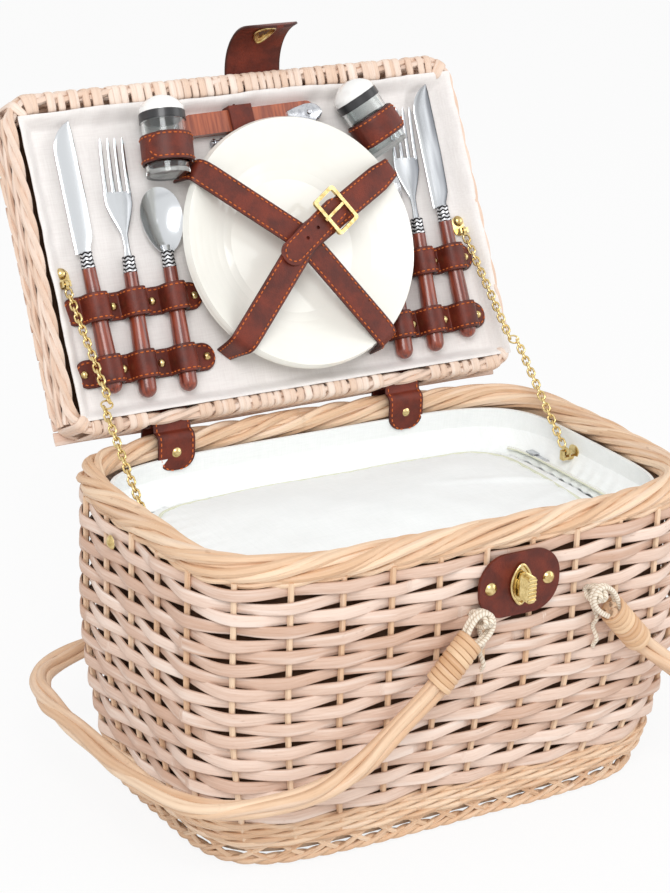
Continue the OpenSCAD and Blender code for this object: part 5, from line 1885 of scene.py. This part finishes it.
@dataclass
class Corkscrew:
    """The waiter's corkscrew above the plates, with metal fittings at both ends."""

    u: float = 4.0
    v: float = 217.0
    lever_w: float = 10.9
    pivot_u: float = 52.0

    def build(self) -> None:
        """Adds a ring at one end, a lever plate with a pivot at the other, and dresses the rest."""
        metal = Piece("corkscrew_fittings")
        t = around(28)
        ring = uvw(self.u - 60 + 4.6 * np.cos(t), self.v - 5 + 5.6 * np.sin(t), BOARD + 6)
        rod(metal, ring, 1.6, 0.5, 7, closed=True, ref=OUT)
        along, wide = np.array([33.0, 40, 50, 57, 61, 64]), np.array([2.6, 5.0, 7.2, 7.6, 6.0, 2.0])
        path = uvw(self.u + along, self.v - 0.6, BOARD + self.lever_w)
        metal.tube(sweep(path, OUT, SLOPE[1], oval(1.3, wide, 12, 0.8)), np.zeros((6, 12, 3)))
        angle = around(16)
        for radius, rise in ((4.2, 1.0), (2.2, 2.2)):
            disc = np.stack([uvw(self.u + self.pivot_u + f * radius * np.cos(angle),
                                 self.v - 0.6 + f * radius * np.sin(angle), BOARD + self.lever_w + 0.7 + h)
                             for f, h in ((0.6, 0), (1, 0.2), (1, rise * 0.6), (0.7, rise))])
            metal.tube(disc, np.zeros((4, 16, 3)))
        metal.build(STEEL, "lid", slot="steel")
        dress(CORKWOOD, "corkscrew_body")
        dress(STEEL, "corkscrew_worm")
        dress(HIDE, "corkscrew_strap")


@dataclass
class Closure:
    """The turn lock on the front wall and the leather tab on the lid."""

    lock_u: float = 25.0
    lock_z: float = 198.0
    face_y: float = -142.8
    ring: tuple = (15.0, 8.4)
    ring_d: float = 2.6
    knob_half: tuple = (3.6, 9.6)
    knob_depth: float = 13.6
    ridge: float = 0.55
    combs: int = 6
    comb_pitch: float = 3.0
    tab_r: float = 40.0
    tab_lean: float = math.radians(18.0)
    tab_sweep: float = math.radians(103.0)
    tab_width: float = 50.0
    tab_t: float = 2.4
    tab_root: tuple = (255.6, -18.0)
    eye_share: float = 0.62
    eye: tuple = (14.5, 7.8)

    def lens(self, halves: Sequence[float]) -> Array:
        """A pointed oval: along is the sine, and sideways the cosine, drawn in towards the ends."""
        t = around(40)
        return np.stack([halves[0] * np.sin(t), halves[1] * np.cos(t) * (0.82 + 0.18 * np.cos(2 * t))], -1)

    def lock(self) -> None:
        """A pointed oval ring with a dished plate in it, and a turn piece cut with level ridges."""
        ring, knob = Piece("turn_lock_ring"), Piece("turn_lock_ridged")
        edge = self.lens(self.ring)

        def oval_at(share: float, depth: float) -> Array:
            """The oval at a share of its size, at a depth in front of the wall."""
            return np.stack([self.lock_u + edge[:, 1] * share, np.full(40, self.face_y - depth),
                             self.lock_z + edge[:, 0] * share], -1)

        rod(ring, oval_at(1.0, 1.5), self.ring_d, 0.5, 8, closed=True, ref=(0, 1, 0))
        ring.tube(np.stack([oval_at(0.96, 0.1), oval_at(0.96, 1.4), oval_at(0.8, 1.9), oval_at(0.4, 0.9)]),
                  np.zeros((4, 40, 3)))
        ring.build(BRASS, "basket", ["turn_lock_rosette"], slot="brass")
        angle, levels = around(28), np.arange(30)
        wide, high = bulge(np.cos(angle), 0.4), bulge(np.sin(angle), 0.5)
        depth = np.concatenate([[0.0, 1.45, 1.6], np.linspace(3.5, self.knob_depth, 27)])
        ridge = np.where(levels > 2, self.ridge * np.sin(levels * TAU / 3.0), 0.0)
        half_x, half_z = self.knob_half[0] + ridge * 0.6, np.where(depth < 1.5, 4.2, self.knob_half[1] + ridge)
        grid = np.stack([self.lock_u + wide * half_x[:, None],
                         np.broadcast_to((self.face_y - 1.4 - depth)[:, None], (30, 28)),
                         self.lock_z + high * half_z[:, None]], -1)
        knob.tube(grid, np.zeros(grid.shape))
        for k in range(self.combs):
            z = self.lock_z + (k - (self.combs - 1) / 2) * self.comb_pitch
            bar = np.array([[self.lock_u + x, self.face_y - 15.0, z] for x in np.linspace(-3.4, 3.4, 6)])
            rod(knob, bar, 1.5, 0.5, 8, ref=(0, 0.1, 1))
        knob.build(BRASS, "turn_lock", ["turn_lock_knob"], sharp=40, slot="brass")

    def tab(self) -> None:
        """The lid's leather tab: an arc that leans out of the lid and curls forward to a rounded end."""
        piece, eyelet, slot = (Piece(f"closure_tab_{part}") for part in ("leather", "eyelet", "slot"))
        c, s = math.cos(self.tab_lean), math.sin(self.tab_lean)

        def arc(angle: Array, radius: float, u: Array | float) -> Array:
            """Points on the tab's arc at sweep angles, at a radius and a place along the lid."""
            v, w = radius * np.sin(angle), self.tab_r - radius * np.cos(angle)
            return uvw(u, self.tab_root[0] + v * c - w * s, self.tab_root[1] + v * s + w * c)

        angle = np.linspace(0, self.tab_sweep, 60)
        line = arc(angle, self.tab_r, self.lock_u)
        centre = arc(angle * 0, 0.0, self.lock_u)
        Strap(line, unit(centre - line), self.tab_width, self.tab_t, 0, 22, count=70).leather(piece)
        piece.build(HIDE, "closure_tab", ["closure_tab"], slot="leather")
        edge = self.lens(self.eye)

        def oval_on(share: float, inwards: float) -> Array:
            """The eyelet's oval at a share of its size, at a distance inside the arc."""
            spot = self.tab_sweep * self.eye_share + edge[:, 0] * share / self.tab_r
            return arc(spot, self.tab_r - inwards, self.lock_u + edge[:, 1] * share)

        rod(eyelet, oval_on(1.0, 2.2), 2.4, 0.5, 8, closed=True, ref=(1, 0.2, 0.1))
        eyelet.tube(np.stack([oval_on(0.97, 1.2), oval_on(0.97, 2.4), oval_on(0.7, 2.0), oval_on(0.68, 1.3)]),
                    np.zeros((4, 40, 3)))
        eyelet.build(BRASS, "closure_tab", ["closure_eyelet"], slot="brass")
        # a dark oval of painted shade fills the eyelet's hole
        slot.tube(np.stack([oval_on(0.5, 1.3), oval_on(0.5, 2.15), oval_on(0.3, 2.3)]), np.zeros((3, 40, 3)))
        slot.build(SHADE_PAINT, "closure_tab")

    def build(self) -> None:
        """Builds the lock and the tab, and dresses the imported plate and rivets."""
        self.lock()
        self.tab()
        dress(HIDE, "latch_plate")
        dress(BRASS, "latch_rivets")


@dataclass
class Chains:
    """The stay chains and their fittings: two half chains on each side, joined by a ring in the middle."""

    upper: float = 178.6
    lower: float = 184.3
    joint: tuple = (98.2, 288.6)
    slope: tuple = (0.7197, 0.6943)
    ring: tuple = (4.6, 3.4)
    wire: float = 1.5

    def build(self) -> None:
        """Dresses every chain part in brass and adds the joining rings."""
        dress(BRASS, "left_chain_upper", "left_chain_lower", "right_chain_upper", "right_chain_lower",
              "lid_chain_clips", "wall_chain_eyes", "chain_studs")
        t, along = around(30), np.array([0, *self.slope])
        for sign, side in ((-1, "left"), (1, "right")):
            piece = Piece(f"{side}_chain_joint")
            middle = np.array([sign * (self.upper + self.lower) / 2, *self.joint])
            ring = middle + np.outer(np.cos(t) * self.ring[0], [1, 0, 0]) + np.outer(np.sin(t) * self.ring[1], along)
            rod(piece, ring, self.wire, 0.5, 7, closed=True, ref=np.cross([1, 0, 0], along))
            piece.build(BRASS, f"{side}_chain_upper", slot="brass")


# ---------- the studio

@dataclass
class Studio:
    """Floor, lights and camera."""

    eye: tuple = (-1.015, -1.557, 0.932)
    yaw: float = 31.25
    pitch: float = 19.95
    roll: float = 1.68
    focal_px: float = 2668.0
    long_side: float = 893.0
    shift: tuple = (30.0, -1.0)

    def camera(self) -> None:
        """A camera with a long lens, turned by yaw, pitch and roll."""
        yaw, pitch, roll = (math.radians(a) for a in (self.yaw, self.pitch, self.roll))
        ahead = np.array([math.sin(yaw) * math.cos(pitch), math.cos(yaw) * math.cos(pitch), -math.sin(pitch)])
        right = unit(np.cross(ahead, UP))
        up = np.cross(right, ahead)
        across, rise = math.cos(roll) * right + math.sin(roll) * up, -math.sin(roll) * right + math.cos(roll) * up
        data = bpy.data.cameras.new("camera")
        data.sensor_width = 36.0
        data.lens = self.focal_px / self.long_side * data.sensor_width
        data.shift_x, data.shift_y = (s / self.long_side for s in self.shift)
        obj = stand("camera", data)
        turn = Matrix([[*across], [*rise], [*(-ahead)]]).transposed()
        obj.matrix_world = Matrix.Translation(Vector(self.eye)) @ turn.to_4x4()
        bpy.context.scene.camera = obj

    def floor(self) -> None:
        """A plain pale floor that keeps a soft shadow and otherwise shows white."""
        mesh = bpy.data.meshes.new("floor")
        mesh.from_pydata([(-6, -6, -0.0004), (6, -6, -0.0004), (6, 6, -0.0004), (-6, 6, -0.0004)], [], [(0, 1, 2, 3)])
        obj = stand("floor", mesh)
        bench = Bench("pale_floor")
        bench.done(Base_Color=(0.86, 0.86, 0.86, 1), Roughness=0.9)
        path = bench.node("ShaderNodeLightPath")
        seen = Value(bench.tree, path.outputs["Is Camera Ray"])
        glow = bench.node("ShaderNodeEmission", inputs={"Color": (1, 1, 1, 1), "Strength": 1.0})
        mix = bench.node("ShaderNodeMixShader", inputs={0: seen * 0.88, 1: bench.shader.outputs[0],
                                                        2: glow.outputs[0]})
        output = next(n for n in bench.tree.nodes if n.type == "OUTPUT_MATERIAL")
        bench.tree.links.new(mix.outputs[0], output.inputs["Surface"])
        mesh.materials.append(bench.result)

    def lights(self) -> None:
        """Even light from all round, a large soft key from the front left and a weak fill from the right."""
        world = bpy.data.worlds.new("studio_air")
        bpy.context.scene.world = world
        world.use_nodes = True
        tree = world.node_tree
        back = tree.nodes["Background"]
        back.inputs["Color"].default_value = (1, 1, 1, 1)
        path = tree.nodes.new("ShaderNodeLightPath")
        seen = Value(tree, path.outputs["Is Camera Ray"]) + Value(tree, path.outputs["Is Glossy Ray"]) \
            + Value(tree, path.outputs["Is Transmission Ray"])
        strength = seen.math("MINIMUM", 1.0) * 0.30 + 0.70
        tree.links.new(strength.socket, back.inputs["Strength"])
        for name, spot, aim, size, power in (("key", (-1.5, -2.0, 2.4), (0, 0, 0.2), 1.6, 54),
                                             ("fill", (2.2, -1.4, 1.2), (0, 0, 0.2), 1.8, 18)):
            data = bpy.data.lights.new(name, "AREA")
            data.energy, data.size = power, size
            lamp = stand(name, data)
            lamp.location = spot
            lamp.rotation_euler = (Vector(aim) - Vector(spot)).to_track_quat("-Z", "Y").to_euler()

    def build(self) -> None:
        """Sets the stage."""
        self.floor()
        self.lights()
        bpy.context.scene.view_settings.view_transform = "Standard"


def main() -> None:
    """Builds the sub-assemblies in order."""
    logging.basicConfig(level=logging.INFO, format="%(name)s: %(message)s")
    studio = Studio()
    studio.camera()
    outline = Outline()
    WovenBody(outline).build()
    for hand in Hand:
        Handle(hand).build()
    PivotCords().build()
    LidTray().build()
    HingeStraps().build()
    CoolerBag(outline).build()
    PlateSet().build()
    for item in CUTLERY:
        Cutlery(*item).build()
    CutleryStraps().build()
    Shakers().build()
    Corkscrew().build()
    Closure().build()
    Chains().build()
    studio.build()


if __name__ == "__main__":
    main()
